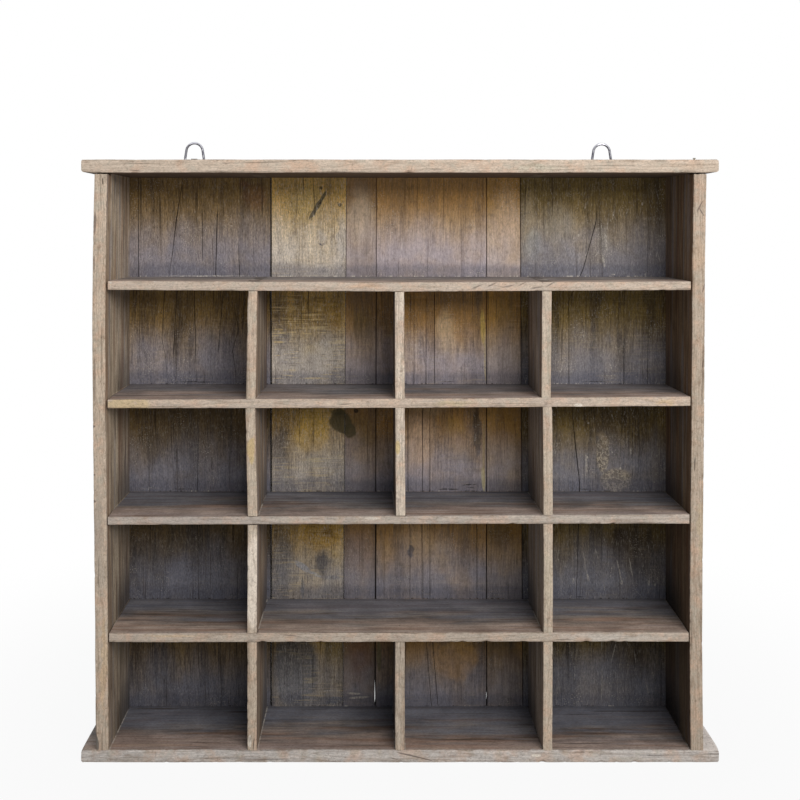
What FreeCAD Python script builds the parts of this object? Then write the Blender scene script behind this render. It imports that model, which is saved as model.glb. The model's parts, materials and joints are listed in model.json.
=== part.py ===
# Cubby shelf of reclaimed boards: a case with four shelves, four dividers that
# cross them in halving joints, six back planks and two ring hangers.
# Millimetres. X runs to the right, Y to the back, Z up. The origin lies under the
# middle of the whole shelf, on the surface that it stands on.

import FreeCAD, Part
import math
import os
import Sketcher

SHELVES = 4
ROWS = SHELVES + 1
PLANKS = 6
WIRE_SIDES = 12
TINY = 0.001

# Driving dimensions: name, value, meaning
SIZES = [
    ("total_width", 700, "top and bottom boards, end to end"),
    ("side_overhang", 14.5, "top and bottom boards past each side"),
    ("case_depth", 105, "sides, shelves and dividers, front to back"),
    ("row_clear", 118.8, "clear height of each row of cubbies"),
    ("top_thk", 14.5, "top board"),
    ("bottom_thk", 13.5, "bottom board"),
    ("side_thk", 14, "side boards"),
    ("shelf_thk", 10, "shelves"),
    ("divider_thk", 10.5, "dividers"),
    ("plank_thk", 10, "back planks"),
    ("shelf_end_gap", 0.8, "between a shelf's end and the side"),
    ("joint_clearance", 0.2, "round each halving joint"),
    ("cut_overrun", 2, "how far a slot's cutter runs past the board"),
    ("top_corner_radius", 3.5, "top board's corners, seen from above"),
    ("top_edge_bevel", 1.8, "top board's worn edges"),
    ("bottom_corner_radius", 3, "bottom board's corners, seen from above"),
    ("bottom_worn_radius", 9, "bottom board's front right corner"),
    ("bottom_edge_bevel", 1.2, "bottom board's edges"),
    ("side_edge_radius", 1.5, "front edges of the sides"),
    ("shelf_edge_radius", 1.2, "front edges of the shelves"),
    ("divider_edge_bevel", 0.8, "front edges of the dividers"),
    ("plank_edge_bevel", 0.5, "long edges of the back planks"),
    ("foot_taper_width", 5, "worn foot of the left side, across"),
    ("foot_taper_height", 50, "worn foot of the left side, upwards"),
    ("seam_1_gap", 1.5, "between planks 1 and 2"),
    ("seam_2_gap", 0.3, "between planks 2 and 3"),
    ("seam_3_gap", 1, "between planks 3 and 4"),
    ("seam_4_gap", 1, "between planks 4 and 5"),
    ("seam_5_gap", 0.3, "between planks 5 and 6"),
    ("seam_2_lean", 4.5, "how far seam 2 leans to the right on its way up"),
    ("seam_3_lean", 2.3, "how far seam 3 leans to the right on its way up"),
    ("seam_5_lean", 3.1, "how far seam 5 leans to the left on its way up"),
    ("nail_length", 35, "finish nail, headless but for the proud one"),
    ("nail_width", 1.6, "nail wire, wide way"),
    ("nail_depth", 1.4, "nail wire and head, narrow way"),
    ("nail_head_width", 2.9, "the proud nail's T head, wide way"),
    ("nail_head_thk", 0.8, "the proud nail's head along the nail"),
    ("nail_clearance", 0.05, "round a nail in its hole"),
    ("nail_tip_gap", 0.5, "past a nail's tip"),
    ("nail_inset", 22, "from the front or back edge to a nail"),
    ("proud_nail_inset", 10, "from the front edge to the proud nail"),
    ("proud_nail_shift", 2.5, "proud nail inwards from the side's middle"),
    ("proud_nail_height", 2.3, "top of the proud nail above the top board"),
    ("ring_wire", 3, "wire of the rings"),
    ("ring_width", 25.6, "ring over its feet, outside"),
    ("ring_foot_radius", 2.5, "bend between bar and leg, at the wire's middle"),
    ("ring_arch_radius", 9.9, "arch, at the wire's middle"),
    ("ring_arch_rise", 11.4, "arch's centre above the bar's middle"),
    ("ring_clearance", 0.08, "round the ring's bar in the fold"),
    ("fold_height", 6.6, "ring's bar above the top board, left hanger"),
    ("right_hanger_drop", 1.1, "right hanger lower than the left one"),
    ("hanger_inset", 104, "each hanger from the top board's end"),
    ("strap_thk", 1, "sheet of the straps"),
    ("strap_width", 12, "strap at its screws"),
    ("strap_neck_width", 7.4, "strap at the fold"),
    ("strap_neck_height", 7.5, "shoulder of the neck below the ring's bar"),
    ("strap_gap", 0.15, "between the strap's two layers"),
    ("strap_end_margin", 7, "from the lower screw to the strap's end"),
    ("strap_end_bevel", 3, "clipped corners of the strap's lower end"),
    ("strap_shoulder_bevel", 1.2, "clipped corners of the strap's shoulders"),
    ("screw_spacing", 20, "between a strap's two screws"),
    ("screw_dia", 3.5, "screw shank"),
    ("screw_length", 9.5, "screw under its head"),
    ("screw_tip_length", 2.5, "pointed end of a screw"),
    ("screw_head_dia", 6.2, "pan head, across"),
    ("screw_rim_height", 1.4, "straight rim of the pan head"),
    ("screw_crown_height", 0.6, "bevelled crown of the pan head above its rim"),
    ("screw_crown_dia", 5, "flat top of the crown"),
    ("screw_clearance", 0.1, "round a screw in its hole"),
    ("screw_tip_gap", 0.5, "past a screw's tip"),
]

# Width of each back plank at its foot, as a share of the case's outer width;
# the last one fills up the rest
PLANK_WIDTH_SHARES = {1: 0.2726, 2: 0.127, 3: 0.0566, 4: 0.1982, 5: 0.0635}

# Distance between neighbouring dividers, as a share of the width between the sides
DIVIDER_SHARE = 0.252

# Lengths and places that follow from them
PITCH = "(Sizes.row_clear + Sizes.shelf_thk)"
CASE_HEIGHT = "(%d * Sizes.row_clear + %d * Sizes.shelf_thk)" % (ROWS, SHELVES)
TOP_LEVEL = "(Sizes.bottom_thk + %s)" % CASE_HEIGHT
BOARD_DEPTH = "(Sizes.case_depth + Sizes.plank_thk)"
CASE_WIDTH = "(Sizes.total_width - 2 * Sizes.side_overhang)"
DIVIDER_SPACING = "(%s * (%s - 2 * Sizes.side_thk))" % (DIVIDER_SHARE, CASE_WIDTH)
HANGER_OFFSET = "(Sizes.total_width / 2 - Sizes.hanger_inset)"
SIDE_MIDDLE = "(%s / 2 - Sizes.side_thk / 2)" % CASE_WIDTH
SHELF_HALF = "(%s / 2 - Sizes.side_thk - Sizes.shelf_end_gap)" % CASE_WIDTH
PLANKS_LEFT = "(-%s / 2)" % CASE_WIDTH
SLOT_DEPTH = "(Sizes.case_depth / 2 + Sizes.joint_clearance)"
EYE_RADIUS = "(Sizes.ring_wire / 2 + Sizes.ring_clearance)"
FOLD_RADIUS = "(%s + Sizes.strap_thk)" % EYE_RADIUS
FRONT = "(-%s / 2 - %s)" % (BOARD_DEPTH, FOLD_RADIUS)
BACK = "(%s / 2 - %s)" % (BOARD_DEPTH, FOLD_RADIUS)
STRAP_STACK = "(2 * Sizes.strap_thk + Sizes.strap_gap)"
LOWER_SCREW = "Sizes.strap_end_margin"
UPPER_SCREW = "(Sizes.strap_end_margin + Sizes.screw_spacing)"
STRAP_RISE = "(%s + Sizes.top_thk / 2 + Sizes.fold_height)" % UPPER_SCREW
STRAP_FOOT = "(%s + Sizes.top_thk / 2 - %s)" % (TOP_LEVEL, UPPER_SCREW)
NAIL_ROWS = ["Sizes.nail_inset", "(Sizes.case_depth - Sizes.nail_inset)"]
DIVIDER_PLACES = ["-" + DIVIDER_SPACING, "0", DIVIDER_SPACING]

# Places of the nails along each plank, as shares of its width
PLANK_NAIL_SHARES = {
    1: [0.25, 0.65],
    2: [0.27, 0.73],
    3: [0.5],
    4: [0.42, 0.8],
    5: [0.5],
    6: [0.36, 0.75],
}

os.makedirs("parts", exist_ok=True)
doc = FreeCAD.newDocument("CubbyShelf")
sheet = doc.addObject("Spreadsheet::Sheet", "Sizes")
for row, (alias, value, meaning) in enumerate(SIZES, start=1):
    sheet.set("A%d" % row, alias)
    sheet.set("B%d" % row, str(value))
    sheet.set("C%d" % row, meaning)
    sheet.setAlias("B%d" % row, alias)
doc.recompute()

bodies = []


def size(alias):
    """A driving dimension's value, read from the sheet."""
    return float(sheet.get(alias))


def new_body(label, x, y, z):
    """A body whose origin is placed by three expressions."""
    body = doc.addObject("PartDesign::Body", label)
    body.Label = label
    body.AllowCompound = True
    body.setExpression("Placement.Base.x", x)
    body.setExpression("Placement.Base.y", y)
    body.setExpression("Placement.Base.z", z)
    bodies.append(body)
    return body


def origin_feature(body, role):
    """The body's own origin plane or axis."""
    return [item for item in body.Origin.OriginFeatures if item.Role == role][0]


def new_sketch(body, name, plane, offset="0"):
    """A sketch on an origin plane, shifted along that plane's normal."""
    sketch = body.newObject("Sketcher::SketchObject", body.Label + "_" + name)
    sketch.AttachmentSupport = [(origin_feature(body, plane), "")]
    sketch.MapMode = "FlatFace"
    sketch.setExpression("AttachmentOffset.Base.z", offset)
    return sketch


def bind(sketch, constraint, name, expression):
    """Add a dimension and tie it to an expression."""
    number = sketch.addConstraint(constraint)
    sketch.renameConstraint(number, name)
    sketch.setExpression("Constraints." + name, expression)


def add_rectangle(sketch, name, left, low, width, height):
    """An upright rectangle; its lower left corner and sides are expressions."""
    corners = [(0, 0), (1, 0), (1, 1), (0, 1)]
    lines = []
    for start, end in zip(corners, corners[1:] + corners[:1]):
        line = Part.LineSegment(FreeCAD.Vector(*start), FreeCAD.Vector(*end))
        lines.append(sketch.addGeometry(line, False))
    bottom, right, top, left_line = lines
    for first, second in zip(lines, lines[1:] + lines[:1]):
        sketch.addConstraint(Sketcher.Constraint("Coincident", first, 2, second, 1))
    sketch.addConstraint(Sketcher.Constraint("Horizontal", bottom))
    sketch.addConstraint(Sketcher.Constraint("Horizontal", top))
    sketch.addConstraint(Sketcher.Constraint("Vertical", right))
    sketch.addConstraint(Sketcher.Constraint("Vertical", left_line))
    bind(sketch, Sketcher.Constraint("DistanceX", -1, 1, bottom, 1, 0), name + "_left", left)
    bind(sketch, Sketcher.Constraint("DistanceY", -1, 1, bottom, 1, 0), name + "_low", low)
    bind(sketch, Sketcher.Constraint("DistanceX", bottom, 1, bottom, 2, 1), name + "_width", width)
    bind(sketch, Sketcher.Constraint("DistanceY", right, 1, right, 2, 1), name + "_height", height)


def add_centred_rectangle(sketch, name, x, y, width, height):
    """A rectangle about a point."""
    left = "%s - (%s) / 2" % (x, width)
    low = "%s - (%s) / 2" % (y, height)
    add_rectangle(sketch, name, left, low, width, height)


def add_circle(sketch, name, x, y, diameter):
    """A circle placed and sized by expressions."""
    circle = sketch.addGeometry(Part.Circle(FreeCAD.Vector(0, 0), FreeCAD.Vector(0, 0, 1), 1), False)
    bind(sketch, Sketcher.Constraint("DistanceX", -1, 1, circle, 3, 0), name + "_x", x)
    bind(sketch, Sketcher.Constraint("DistanceY", -1, 1, circle, 3, 0), name + "_y", y)
    bind(sketch, Sketcher.Constraint("Diameter", circle, 2), name + "_dia", diameter)


def add_polygon(sketch, name, sides, diameter, start):
    """A regular polygon about the sketch's origin, its corners on a circle."""
    circle = Part.Circle(FreeCAD.Vector(0, 0), FreeCAD.Vector(0, 0, 1), start / 2)
    guide = sketch.addGeometry(circle, True)
    sketch.addConstraint(Sketcher.Constraint("Coincident", guide, 3, -1, 1))
    bind(sketch, Sketcher.Constraint("Diameter", guide, start), name + "_dia", diameter)
    turns = [2 * math.pi * (number - 1 / 2) / sides for number in range(sides)]
    lines = add_chain(sketch, [(start / 2 * math.cos(turn), start / 2 * math.sin(turn)) for turn in turns])
    for line in lines:
        sketch.addConstraint(Sketcher.Constraint("PointOnObject", line, 1, guide))
    for line in lines[1:]:
        sketch.addConstraint(Sketcher.Constraint("Equal", lines[0], line))
    sketch.addConstraint(Sketcher.Constraint("Vertical", lines[0]))


def add_chain(sketch, points):
    """A closed chain of straight lines through starting points, joined at the corners."""
    lines = []
    for start, end in zip(points, points[1:] + points[:1]):
        line = Part.LineSegment(FreeCAD.Vector(*start), FreeCAD.Vector(*end))
        lines.append(sketch.addGeometry(line, False))
    for first, second in zip(lines, lines[1:] + lines[:1]):
        sketch.addConstraint(Sketcher.Constraint("Coincident", first, 2, second, 1))
    return lines


def add_pad(body, name, sketch, length, along=True, symmetric=False):
    """Material on the sketch, along its normal or against it."""
    pad = body.newObject("PartDesign::Pad", body.Label + "_" + name)
    pad.Profile = sketch
    pad.SideType = "Symmetric" if symmetric else "One side"
    pad.Reversed = not along
    pad.setExpression("Length", length)
    doc.recompute()
    return pad


def add_pocket(body, name, sketch, length=None, along=True, symmetric=False):
    """A cut into the body, along the sketch's normal or against it, or through all."""
    before = body.Tip.Shape.Volume
    pocket = body.newObject("PartDesign::Pocket", body.Label + "_" + name)
    pocket.Profile = sketch
    pocket.SideType = "Symmetric" if symmetric else "One side"
    pocket.Reversed = along
    if length is None:
        pocket.Type = "ThroughAll"
    else:
        pocket.setExpression("Length", length)
    doc.recompute()
    if not pocket.Shape.Volume < before:
        raise RuntimeError("nothing was cut by " + pocket.Name)
    return pocket


def repeat(body, name, features, axis, spacing, count):
    """The features again, in a row along an origin axis."""
    pattern = body.newObject("PartDesign::LinearPattern", body.Label + "_" + name)
    pattern.Originals = features
    pattern.Direction = (origin_feature(body, axis), [""])
    pattern.Mode = "Spacing"
    pattern.setExpression("Offset", spacing)
    pattern.Occurrences = count
    body.Tip = pattern
    doc.recompute()
    return pattern


def picked_edges(shape, test):
    """Names of the edges whose two end points pass the test."""
    names = []
    for number, edge in enumerate(shape.Edges, start=1):
        if test(edge.Vertexes[0].Point, edge.Vertexes[-1].Point):
            names.append("Edge%d" % number)
    return names


def round_edges(body, name, test, radius):
    """Fillet the tip's edges that pass the test."""
    base = body.Tip
    fillet = body.newObject("PartDesign::Fillet", body.Label + "_" + name)
    fillet.Base = (base, picked_edges(base.Shape, test))
    fillet.setExpression("Radius", radius)
    doc.recompute()


def bevel_edges(body, name, test, width):
    """Chamfer the tip's edges that pass the test."""
    base = body.Tip
    chamfer = body.newObject("PartDesign::Chamfer", body.Label + "_" + name)
    chamfer.Base = (base, picked_edges(base.Shape, test))
    chamfer.setExpression("Size", width)
    doc.recompute()


def upright(start, end):
    """An edge that runs mostly up."""
    return abs(end.z - start.z) > max(abs(end.x - start.x), abs(end.y - start.y)) + TINY


def level(start, end):
    """An edge at one height."""
    return abs(end.z - start.z) < TINY


def at_front(start, end):
    """An edge in the body's front face."""
    return abs(start.y) < TINY and abs(end.y) < TINY


def nail_profile(sketch, places, width, clearance):
    """One rectangle for each nail, wide way along the sketch's first axis."""
    grown = "(%s + 2 * %s)" % (width, clearance)
    deep = "(Sizes.nail_depth + 2 * %s)" % clearance
    for number, (x, y) in enumerate(places, start=1):
        add_centred_rectangle(sketch, "nail_%d" % number, x, y, grown, deep)


def add_nails(body, name, plane, surface, places, along):
    """Nails driven flush with a surface."""
    sketch = new_sketch(body, name + "_sketch", plane, surface)
    nail_profile(sketch, places, "Sizes.nail_width", "0")
    return add_pad(body, name, sketch, "Sizes.nail_length", along)


def cut_nail_entries(body, name, plane, surface, places, thickness, along):
    """Holes right through the board that nails are driven into first."""
    sketch = new_sketch(body, name + "_sketch", plane, surface)
    nail_profile(sketch, places, "Sizes.nail_width", "Sizes.nail_clearance")
    return add_pocket(body, name, sketch, thickness, along)


def cut_nail_ends(body, name, plane, surface, places, driven, along):
    """Blind holes in the board behind; driven is what the nail passes before it."""
    sketch = new_sketch(body, name + "_sketch", plane, surface)
    nail_profile(sketch, places, "Sizes.nail_width", "Sizes.nail_clearance")
    depth = "Sizes.nail_length - (%s) + Sizes.nail_tip_gap" % driven
    return add_pocket(body, name, sketch, depth, along)


def shelf_level(number):
    """Underside of a shelf, counted from the top."""
    below = SHELVES - number
    return "(Sizes.bottom_thk + %d * Sizes.row_clear + %d * Sizes.shelf_thk)" % (below + 1, below)


def plank_start(number):
    """Left edge of a plank at its foot, measured from the left side's outer face."""
    steps = ["0"]
    for earlier in range(1, number):
        steps.append("%s + Sizes.seam_%d_gap" % (plank_width(earlier), earlier))
    return "(" + " + ".join(steps) + ")"


def plank_width(number):
    """Width of a plank at its foot; the last one fills up the case."""
    if number < PLANKS:
        return "%s * %s" % (PLANK_WIDTH_SHARES[number], CASE_WIDTH)
    return "(%s - %s)" % (CASE_WIDTH, plank_start(number))


def seam_lean(number):
    """How far the seam to the right of a plank moves in +X on its way up."""
    leans = {2: "Sizes.seam_2_lean", 3: "Sizes.seam_3_lean", 5: "-Sizes.seam_5_lean"}
    return leans.get(number, "0")


def plank_nail_places(number):
    """Nails of a plank along X, in the shelf's frame."""
    places = []
    for share in PLANK_NAIL_SHARES[number]:
        places.append("%s + %s + %s * %s" % (PLANKS_LEFT, plank_start(number), share, plank_width(number)))
    return places


ALL_PLANK_NAILS = [x for number in range(1, PLANKS + 1) for x in plank_nail_places(number)]
SIDE_PLACES = ["-" + SIDE_MIDDLE, SIDE_MIDDLE]
SHELF_MIDDLE = "Sizes.shelf_thk / 2"
SIDE_NAIL_PLACES = [(y, SHELF_MIDDLE) for y in NAIL_ROWS]
DIVIDER_NAIL_PLACES = [(x, y) for x in DIVIDER_PLACES for y in NAIL_ROWS]
MIDDLE_NAIL_PLACES = [("0", y) for y in NAIL_ROWS]
LEFT_TOP_PLACES = [("-" + SIDE_MIDDLE, y) for y in NAIL_ROWS]
TOP_NAIL_PLACES = LEFT_TOP_PLACES + [(SIDE_MIDDLE, NAIL_ROWS[1])]
PROUD_PLACE = [(SIDE_MIDDLE + " - Sizes.proud_nail_shift", "Sizes.proud_nail_inset")]
BOTTOM_NAIL_PLACES = [(x, y) for x in SIDE_PLACES + DIVIDER_PLACES for y in NAIL_ROWS]
EDGE_NAIL_LEVEL = "(Sizes.row_clear / 2)"
EDGE_NAIL_COUNT = (ROWS + 1) // 2
BACK_NAIL_COUNT = 2
BACK_NAIL_SPACING = "(%d * %s)" % (SHELVES - 1, PITCH)
PROUD_DRIVEN = "Sizes.top_thk + Sizes.proud_nail_height"


HANGERS = [
    ("left", "-" + HANGER_OFFSET, "0"),
    ("right", HANGER_OFFSET, "Sizes.right_hanger_drop"),
]


def plan_board(label, length, depth, thickness, z):
    """A level board, middle of its front lower edge at the body's origin."""
    body = new_body(label, "0", FRONT, z)
    outline = new_sketch(body, "outline", "XY_Plane")
    add_rectangle(outline, "board", "-(%s) / 2" % length, "0", length, depth)
    add_pad(body, "board", outline, thickness)
    return body


def cut_screw_hole(body, x, z):
    """A blind hole for a strap's screw, from a board's rear face."""
    name = "screw_left" if x.startswith("-") else "screw_right"
    depth_here = BOARD_DEPTH if body.Label == "top_board" else "Sizes.plank_thk"
    circle = new_sketch(body, name + "_sketch", "XZ_Plane", "-" + depth_here)
    diameter = "(Sizes.screw_dia + 2 * Sizes.screw_clearance)"
    add_circle(circle, "hole", x, z, diameter)
    depth = "Sizes.screw_length - %s + Sizes.screw_tip_gap" % STRAP_STACK
    add_pocket(body, name, circle, depth, along=True)


def make_top_board():
    body = plan_board("top_board", "Sizes.total_width", BOARD_DEPTH, "Sizes.top_thk", TOP_LEVEL)
    round_edges(body, "corners", upright, "Sizes.top_corner_radius")
    bevel_edges(body, "edges", level, "Sizes.top_edge_bevel")
    upper = "Sizes.top_thk"
    cut_nail_entries(body, "nail_holes", "XY_Plane", upper, TOP_NAIL_PLACES, upper, False)
    cut_nail_entries(body, "proud_hole", "XY_Plane", upper, PROUD_PLACE, upper, False)
    cut_screw_hole(body, "-" + HANGER_OFFSET, "Sizes.top_thk / 2")
    cut_screw_hole(body, HANGER_OFFSET, "Sizes.top_thk / 2 - Sizes.right_hanger_drop")


def make_bottom_board():
    body = plan_board("bottom_board", "Sizes.total_width", BOARD_DEPTH, "Sizes.bottom_thk", "0")

    def worn(start, end):
        return upright(start, end) and at_front(start, end) and start.x > 0

    round_edges(body, "worn_corner", worn, "Sizes.bottom_worn_radius")

    def sharp(start, end):
        return upright(start, end) and (start.x < 0 or not (at_front(start, end) or on_worn(start)))

    def on_worn(point):
        half = size("total_width") / 2
        return point.x > 0 and point.y < size("bottom_worn_radius") + TINY and point.x > half - TINY

    round_edges(body, "corners", sharp, "Sizes.bottom_corner_radius")
    bevel_edges(body, "edges", level, "Sizes.bottom_edge_bevel")
    cut_nail_entries(body, "nail_holes", "XY_Plane", "0", BOTTOM_NAIL_PLACES, "Sizes.bottom_thk", True)


def upright_board(label, x, z, thickness, height):
    """A board on end, its thickness centred on the body's YZ plane."""
    body = new_body(label, x, FRONT, z)
    outline = new_sketch(body, "outline", "XY_Plane")
    add_rectangle(outline, "board", "-%s / 2" % thickness, "0", thickness, "Sizes.case_depth")
    add_pad(body, "board", outline, height)
    return body


def upright_front(start, end):
    """An upright edge in the body's front face."""
    return upright(start, end) and at_front(start, end)


def make_side(label, x, outer, along):
    """A side board; outer is its outer face along X, and nails run in from there."""
    body = upright_board(label, x, "Sizes.bottom_thk", "Sizes.side_thk", CASE_HEIGHT)
    round_edges(body, "front_edges", upright_front, "Sizes.side_edge_radius")
    places = [(y, "%s + %s" % (z, "Sizes.row_clear")) for y, z in SIDE_NAIL_PLACES]
    entries = cut_nail_entries(body, "shelf_nail_holes", "YZ_Plane", outer, places, "Sizes.side_thk", along)
    repeat(body, "shelf_nail_rows", [entries], "Z_Axis", PITCH, SHELVES)
    cut_nail_ends(body, "foot_holes", "XY_Plane", "0", MIDDLE_NAIL_PLACES, "Sizes.bottom_thk", True)
    edge = cut_nail_ends(body, "edge_holes", "XZ_Plane", "-Sizes.case_depth", [("0", EDGE_NAIL_LEVEL)],
                         "Sizes.plank_thk", True)
    repeat(body, "edge_rows", [edge], "Z_Axis", "2 * " + PITCH, EDGE_NAIL_COUNT)
    return body


def make_left_side():
    body = make_side("left_side", "-" + SIDE_MIDDLE, "-Sizes.side_thk / 2", True)
    cut_nail_ends(body, "head_holes", "XY_Plane", CASE_HEIGHT, MIDDLE_NAIL_PLACES, "Sizes.top_thk", False)
    worn = new_sketch(body, "worn_foot_sketch", "XZ_Plane", "Sizes.cut_overrun")
    start = [(-2, 0), (-1, 0), (-2, 2)]
    foot, slope, outer = add_chain(worn, start)
    worn.addConstraint(Sketcher.Constraint("Horizontal", foot))
    worn.addConstraint(Sketcher.Constraint("Vertical", outer))
    worn.addConstraint(Sketcher.Constraint("PointOnObject", foot, 1, -1))
    corner = Sketcher.Constraint("DistanceX", foot, 1, -1, 1, 2)
    bind(worn, corner, "outer_face", "Sizes.side_thk / 2")
    across = Sketcher.Constraint("DistanceX", foot, 1, foot, 2, 1)
    bind(worn, across, "across", "Sizes.foot_taper_width")
    tall = Sketcher.Constraint("DistanceY", foot, 1, slope, 2, 2)
    bind(worn, tall, "tall", "Sizes.foot_taper_height")
    add_pocket(body, "worn_foot", worn, along=False)


def make_right_side():
    body = make_side("right_side", SIDE_MIDDLE, "Sizes.side_thk / 2", False)
    back = [("0", NAIL_ROWS[1])]
    cut_nail_ends(body, "head_hole", "XY_Plane", CASE_HEIGHT, back, "Sizes.top_thk", False)
    proud = [("-Sizes.proud_nail_shift", "Sizes.proud_nail_inset")]
    cut_nail_ends(body, "proud_hole", "XY_Plane", CASE_HEIGHT, proud, PROUD_DRIVEN, False)


def make_shelf(number):
    """A full-width shelf, slotted from behind where dividers cross it."""
    body = plan_board("shelf_%d" % number, "(2 * %s)" % SHELF_HALF, "Sizes.case_depth", "Sizes.shelf_thk",
                      shelf_level(number))

    def front_edge(start, end):
        return level(start, end) and at_front(start, end)

    round_edges(body, "front_edges", front_edge, "Sizes.shelf_edge_radius")
    crossings = {1: 0, 2: 3, 3: 2, 4: 2}[number]
    if crossings:
        slot = new_sketch(body, "slot_sketch", "XY_Plane")
        slot_width = "(Sizes.divider_thk + 2 * Sizes.joint_clearance)"
        left = "-%s - %s / 2" % (DIVIDER_SPACING, slot_width)
        deep = "%s + Sizes.cut_overrun" % SLOT_DEPTH
        add_rectangle(slot, "slot", left, "Sizes.case_depth - " + SLOT_DEPTH, slot_width, deep)
        first = add_pocket(body, "slot", slot, along=True)
        spacing = "2 * %s / %d" % (DIVIDER_SPACING, crossings - 1)
        repeat(body, "slots", [first], "X_Axis", spacing, crossings)
    driven = "Sizes.side_thk + Sizes.shelf_end_gap"
    cut_nail_ends(body, "left_end_holes", "YZ_Plane", "-" + SHELF_HALF, SIDE_NAIL_PLACES, driven, True)
    cut_nail_ends(body, "right_end_holes", "YZ_Plane", SHELF_HALF, SIDE_NAIL_PLACES, driven, False)
    if number in (1, SHELVES):
        places = [(x, SHELF_MIDDLE) for x in ALL_PLANK_NAILS]
        cut_nail_ends(body, "back_holes", "XZ_Plane", "-Sizes.case_depth", places, "Sizes.plank_thk", True)
    upper = "Sizes.shelf_thk"
    if number == 1:
        cut_nail_entries(body, "divider_holes", "XY_Plane", upper, DIVIDER_NAIL_PLACES, upper, False)
    if number == 3:
        cut_nail_entries(body, "divider_holes", "XY_Plane", "0", MIDDLE_NAIL_PLACES, upper, True)
    if number == 4:
        cut_nail_entries(body, "divider_holes", "XY_Plane", upper, MIDDLE_NAIL_PLACES, upper, False)


def make_divider(label, x, z, height, rows):
    """A divider over some rows, slotted from the front where shelves cross it."""
    body = upright_board(label, x, z, "Sizes.divider_thk", height)
    bevel_edges(body, "front_edges", upright_front, "Sizes.divider_edge_bevel")
    if rows > 1:
        slot = new_sketch(body, "slot_sketch", "YZ_Plane")
        low = "Sizes.row_clear - Sizes.joint_clearance"
        slot_height = "Sizes.shelf_thk + 2 * Sizes.joint_clearance"
        deep = "%s + Sizes.cut_overrun" % SLOT_DEPTH
        add_rectangle(slot, "slot", "-Sizes.cut_overrun", low, deep, slot_height)
        first = add_pocket(body, "slot", slot, symmetric=True)
        repeat(body, "slots", [first], "Z_Axis", PITCH, rows - 1)
    foot_driven = "Sizes.shelf_thk" if label == "upper_middle_divider" else "Sizes.bottom_thk"
    cut_nail_ends(body, "foot_holes", "XY_Plane", "0", MIDDLE_NAIL_PLACES, foot_driven, True)
    cut_nail_ends(body, "head_holes", "XY_Plane", height, MIDDLE_NAIL_PLACES, "Sizes.shelf_thk", False)


def make_dividers():
    tall = "(4 * Sizes.row_clear + 3 * Sizes.shelf_thk)"
    short = "(2 * Sizes.row_clear + Sizes.shelf_thk)"
    shelf_3_top = shelf_level(3) + " + Sizes.shelf_thk"
    make_divider("left_divider", "-" + DIVIDER_SPACING, "Sizes.bottom_thk", tall, 4)
    make_divider("right_divider", DIVIDER_SPACING, "Sizes.bottom_thk", tall, 4)
    make_divider("upper_middle_divider", "0", shelf_3_top, short, 2)
    make_divider("lower_middle_divider", "0", "Sizes.bottom_thk", "Sizes.row_clear", 1)


def make_plank(number):
    """An upright back plank; its side edges follow the leaning seams."""
    left = "%s + %s" % (PLANKS_LEFT, plank_start(number))
    body = new_body("back_plank_%d" % number, left, FRONT + " + Sizes.case_depth", "Sizes.bottom_thk")
    outline = new_sketch(body, "outline", "XZ_Plane")
    start = [(0, 0), (1, 0), (1, 2), (0, 2)]
    foot, right, head, left_line = add_chain(outline, start)
    outline.addConstraint(Sketcher.Constraint("Coincident", foot, 1, -1, 1))
    outline.addConstraint(Sketcher.Constraint("Horizontal", foot))
    outline.addConstraint(Sketcher.Constraint("Horizontal", head))
    width = Sketcher.Constraint("DistanceX", foot, 1, foot, 2, 1)
    bind(outline, width, "foot_width", plank_width(number))
    tall = Sketcher.Constraint("DistanceY", foot, 1, head, 2, 2)
    bind(outline, tall, "height", CASE_HEIGHT)
    left_lean = Sketcher.Constraint("DistanceX", foot, 1, head, 2, 0)
    bind(outline, left_lean, "left_lean", seam_lean(number - 1))
    right_lean = Sketcher.Constraint("DistanceX", foot, 2, head, 1, 0)
    bind(outline, right_lean, "right_lean", seam_lean(number))
    add_pad(body, "plank", outline, "Sizes.plank_thk", along=False)
    bevel_edges(body, "long_edges", upright, "Sizes.plank_edge_bevel")
    rear = "-Sizes.plank_thk"
    level_four = "Sizes.row_clear + Sizes.shelf_thk / 2"
    places = [("%s * %s" % (share, plank_width(number)), level_four) for share in PLANK_NAIL_SHARES[number]]
    entries = cut_nail_entries(body, "shelf_holes", "XZ_Plane", rear, places, "Sizes.plank_thk", True)
    repeat(body, "shelf_rows", [entries], "Z_Axis", BACK_NAIL_SPACING, BACK_NAIL_COUNT)
    if number == 1:
        edge_place = [("Sizes.side_thk / 2", EDGE_NAIL_LEVEL)]
    if number == PLANKS:
        edge_place = [(plank_width(number) + " - Sizes.side_thk / 2", EDGE_NAIL_LEVEL)]
    if number in (1, PLANKS):
        edge = cut_nail_entries(body, "edge_holes", "XZ_Plane", rear, edge_place, "Sizes.plank_thk", True)
        repeat(body, "edge_rows", [edge], "Z_Axis", "2 * " + PITCH, EDGE_NAIL_COUNT)
        middle = "-%s - %s" % (PLANKS_LEFT, plank_start(number))
        drop = "0" if number == 1 else "Sizes.right_hanger_drop"
        lower = "%s + Sizes.top_thk / 2 - Sizes.screw_spacing - %s" % (CASE_HEIGHT, drop)
        offset = "- " + HANGER_OFFSET if number == 1 else "+ " + HANGER_OFFSET
        cut_screw_hole(body, "%s %s" % (middle, offset), lower)


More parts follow.
